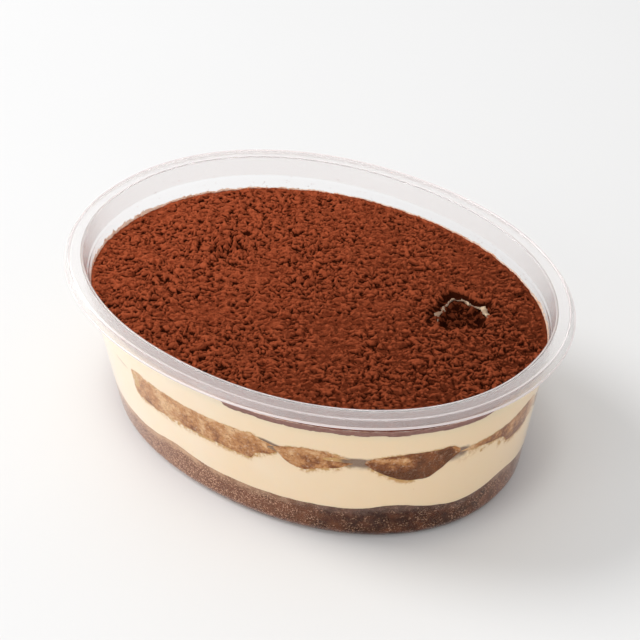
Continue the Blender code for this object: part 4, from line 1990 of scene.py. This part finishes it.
@dataclass
class WallSmear:
    """The thin ragged smear of creamy cocoa dust on the wall, just above the cocoa's edge.

    Its heights are in millimetres, each at an angle in degrees.
    """

    cocoa: CocoaShape
    columns: int = 1400
    rows: int = 7
    press: float = 0.08 * MM
    film: float = 0.10 * MM
    hidden: float = 0.9
    heights: tuple[tuple[float, float], ...] = (
        (0, 1.7), (35, 1.9), (50, 0.8), (75, 0.55), (110, 0.45), (150, 0.9),
        (185, 1.8), (212, 1.6), (228, 0.3), (345, 0.2), (360, 1.7),
    )

    def build(self) -> Piece:
        """Carry a thin closed section round the wall, its top edge waving and tearing.

        Returns:
            The smear.
        """
        shape = self.cocoa.shape
        turn = full_turn(self.columns)
        x, y = self.cocoa.outline(turn)
        low = self.cocoa.wall_line(x, y) - self.hidden * MM
        tall = np.interp(np.degrees(turn), *zip(*self.heights))
        wave = 0.75 + 0.55 * layered_noise(x, y, 3.0 * MM, 4, 401)
        wave = wave + 0.45 * layered_noise(x, y, 0.8 * MM, 2, 411)
        high = low + (self.hidden + tall * np.clip(wave, 0.05, 2)) * MM
        high = np.minimum(high, shape.wall_top - 0.1 * MM)
        share = np.linspace(0, 1, self.rows)
        rise = np.concatenate([share, share[-2:0:-1]])
        inwards = np.concatenate([np.zeros(self.rows), np.sqrt(1 - share[-2:0:-1] ** 2)])
        z = low[None] + (high - low)[None] * rise[:, None]
        points = shape.wall_points(z, turn, self.press - (self.press + self.film) * inwards[:, None])
        faces = ring_faces(len(rise), self.columns, looped=True)
        piece = new_piece("wall_smear", points.reshape(-1, 3), [faces])
        blot = layered_noise(points[..., 0], points[..., 1] + z, 2.0 * MM, 3, 421)
        store(piece, "coffee", np.clip(0.28 + 0.45 * blot, 0, 1))
        return dress(piece, CocoaFilm("cocoa_film"), Slot.COCOA)


@dataclass
class LooseGrains:
    """Small loose clumps of cocoa on the surface and dust on the wall above it, with sizes in millimetres."""

    cocoa: CocoaShape
    clumps: int = 2600
    clump_sizes: tuple[float, float] = (0.16, 0.42)
    specks: int = 420
    speck_sizes: tuple[float, float] = (0.05, 0.17)
    speck_rise: float = 2.6 * MM
    draw: np.random.Generator = field(default_factory=lambda: np.random.default_rng(41))

    def twenty_sided(self) -> tuple[Array, Array]:
        """Make a regular solid with twenty faces.

        Its corners are the turns of (0, 1, golden ratio) with all signs. Three that touch make a face.

        Returns:
            Its twelve corners, 1 from the middle, and its faces, which point outwards.
        """
        golden = (1 + math.sqrt(5)) / 2
        corners = [(0, a, b * golden) for a in (-1, 1) for b in (-1, 1)]
        corners = np.array([tuple(np.roll(corner, k)) for k in range(3) for corner in corners], dtype=float)
        corners = corners / np.linalg.norm(corners[0])
        near = np.linalg.norm(corners[:, None] - corners[None], axis=-1)
        touch = (near > 0.1) & (near < 1.2)
        triples = combinations(range(len(corners)), 3)
        faces = np.array([(a, b, c) for a, b, c in triples if touch[a, b] and touch[b, c] and touch[a, c]])
        inwards = np.linalg.det(corners[faces]) < 0
        faces[inwards] = faces[inwards][:, ::-1]
        return corners, faces

    def solids(self, name: str, centres: Array, sizes: Array, damp_and_shade: Array) -> Piece:
        """Put a small uneven twenty-sided solid at every centre, all in one mesh.

        Args:
            name: The piece's name.
            centres: Middles, one a row.
            sizes: Radii.
            damp_and_shade: How dark each one is: damp, and for a clump also the painted shade of the cocoa
                under it.

        Returns:
            The new object.
        """
        corners, faces = self.twenty_sided()
        count = len(centres)
        each = len(corners)
        stretch = self.draw.uniform(0.6, 1.25, (count, 1, 3)) * self.draw.uniform(0.75, 1.2, (count, each, 1))
        spin = self.draw.uniform(0, 2 * math.pi, (count, 1))
        x, y, z = np.moveaxis(corners[None] * stretch * sizes[:, None, None], -1, 0)
        turned = [x * np.cos(spin) - y * np.sin(spin), x * np.sin(spin) + y * np.cos(spin), z]
        points = (np.stack(turned, axis=-1) + centres[:, None]).reshape(-1, 3)
        all_faces = (faces[None] + each * np.arange(count)[:, None, None]).reshape(-1, 3)
        piece = new_piece(name, points, [all_faces])
        store(piece, "damp_and_shade", np.repeat(damp_and_shade, each))
        store(piece, "hollow", np.zeros(len(points)))
        return dress(piece, Cocoa("cocoa_powder"), Slot.COCOA)

    def scatter_clumps(self) -> Piece:
        """Scatter the clumps evenly over the cocoa.

        Returns:
            The clumps.
        """
        turn = self.draw.uniform(0, 2 * math.pi, self.clumps)
        spread = np.sqrt(self.draw.uniform(0, 1, self.clumps)) * 0.985
        x, y = self.cocoa.outline(turn)
        x, y = x * spread, y * spread
        sizes = self.draw.uniform(*self.clump_sizes, self.clumps) * MM
        z = self.cocoa.height(x, y) + 0.15 * sizes
        # A clump takes the dampness and painted shade of the cocoa where it lies.
        damp_and_shade = np.clip(self.cocoa.damp_and_shade(x, y) + self.draw.uniform(-0.15, 0.2, self.clumps), 0, 0.95)
        return self.solids("cocoa_clumps", np.column_stack([x, y, z]), sizes, damp_and_shade)

    def scatter_specks(self) -> Piece:
        """Scatter the specks over the wall, fewer with height.

        Returns:
            The specks.
        """
        shape = self.cocoa.shape
        turn = self.draw.uniform(0, 2 * math.pi, self.specks)
        rise = self.draw.exponential(self.speck_rise, self.specks)
        x, y = self.cocoa.outline(turn)
        z = np.minimum(self.cocoa.wall_line(x, y) + rise, shape.height - 1.2 * MM)
        x, y = shape.oval(shape.inner_inset(z) + 0.03 * MM, turn)
        sizes = self.draw.uniform(*self.speck_sizes, self.specks) * MM
        damp_and_shade = self.draw.uniform(0, 0.6, self.specks)
        return self.solids("wall_dust", np.column_stack([x, y, z]), sizes, damp_and_shade)

    def build(self) -> list[Piece]:
        """Scatter the clumps, then the specks, from one source of random numbers."""
        return [self.scatter_clumps(), self.scatter_specks()]


# ------------------------------ the studio


@dataclass
class SoftLight:
    """A round soft light: where it hangs, its size and its power."""

    name: str
    place: Triple
    size: float
    power: float

    def build(self, target: Vector) -> None:
        """Hang the light and turn it to the target.

        Args:
            target: The point that it shines at.
        """
        lamp = bpy.data.lights.new(self.name, "AREA")
        lamp.shape = "DISK"
        lamp.size = self.size
        lamp.energy = self.power
        holder = bpy.data.objects.new(self.name, lamp)
        holder.location = self.place
        holder.rotation_euler = (target - Vector(self.place)).to_track_quat("-Z", "Y").to_euler()
        bpy.context.scene.collection.objects.link(holder)


@dataclass
class Studio:
    """Pale floor, soft light and the camera."""

    azimuth: float = math.radians(37.72)
    elevation: float = math.radians(36.53)
    roll: float = math.radians(-0.526)
    distance: float = 610.9 * MM
    target: Triple = (-6.92 * MM, 12.38 * MM, 30.0 * MM)
    lens: float = 96.54
    nearest: float = 0.01
    floor_half: float = 3.0
    floor_points: int = 5
    sky: float = 0.74
    lit: Triple = (0.0, 0.0, 0.03)
    lights: tuple[SoftLight, ...] = (
        SoftLight("key_light", (-1.54, -0.50, 1.40), 0.98, 26.6),
        SoftLight("top_light", (0.05, -0.25, 1.25), 0.28, 1.6),
        SoftLight("front_light", (-0.35, -1.30, 0.55), 0.8, 3.0),
    )

    def camera(self) -> None:
        """Set the camera on its bearing from the target, rolled a little."""
        lens = bpy.data.cameras.new("camera")
        lens.lens = self.lens
        lens.clip_start = self.nearest
        holder = bpy.data.objects.new("camera", lens)
        bpy.context.scene.collection.objects.link(holder)
        bpy.context.scene.camera = holder
        level = math.cos(self.elevation)
        rise = math.sin(self.elevation)
        back = Vector((math.sin(self.azimuth) * level, -math.cos(self.azimuth) * level, rise))
        right = Vector((0, 0, 1)).cross(back).normalized()
        up = back.cross(right)
        side = right * math.cos(self.roll) + up * math.sin(self.roll)
        top = up * math.cos(self.roll) - right * math.sin(self.roll)
        place = Matrix.Translation(Vector(self.target) + back * self.distance)
        holder.matrix_world = place @ Matrix((side, top, back)).transposed().to_4x4()

    def floor(self) -> None:
        """Lay a wide level floor under the tub."""
        edge = np.linspace(-self.floor_half, self.floor_half, self.floor_points)
        x, y = np.meshgrid(edge, edge, indexing="ij")
        points = np.stack([x, y, np.full_like(x, CAD_BOX[0][2])], axis=-1).reshape(-1, 3)
        piece = new_piece("floor", points, [grid_faces(self.floor_points, self.floor_points)])
        piece.data.materials.append(PaleFloor("pale_floor").material())

    def build(self) -> None:
        """Set up the camera, floor, lights and sky."""
        self.camera()
        self.floor()
        for light in self.lights:
            light.build(Vector(self.lit))
        scene = bpy.context.scene
        world = bpy.data.worlds.new("sky")
        world.use_nodes = True
        backdrop = world.node_tree.nodes["Background"]
        backdrop.inputs["Color"].default_value = (1.0, 1.0, 1.0, 1.0)
        backdrop.inputs["Strength"].default_value = self.sky
        scene.world = world
        scene.view_settings.view_transform = "Standard"


def main() -> None:
    """Build the studio, the tub and its layers from the floor up."""
    logging.basicConfig(level=logging.INFO, format="%(name)s: %(message)s", stream=sys.stdout)
    shape = TubShape.from_frame()
    base = BaseShape()
    cocoa = CocoaShape(shape)
    fingers = LadyfingerLayer(shape)
    Studio().build()
    Tub(shape).build()
    SpongeBase(shape, base).build()
    CreamLayers(shape, base, fingers, cocoa).build()
    fingers.build()
    CocoaDusting(cocoa).build()
    CreamLip(cocoa).build()
    WallSmear(cocoa).build()
    LooseGrains(cocoa).build()


if __name__ == "__main__":
    main()
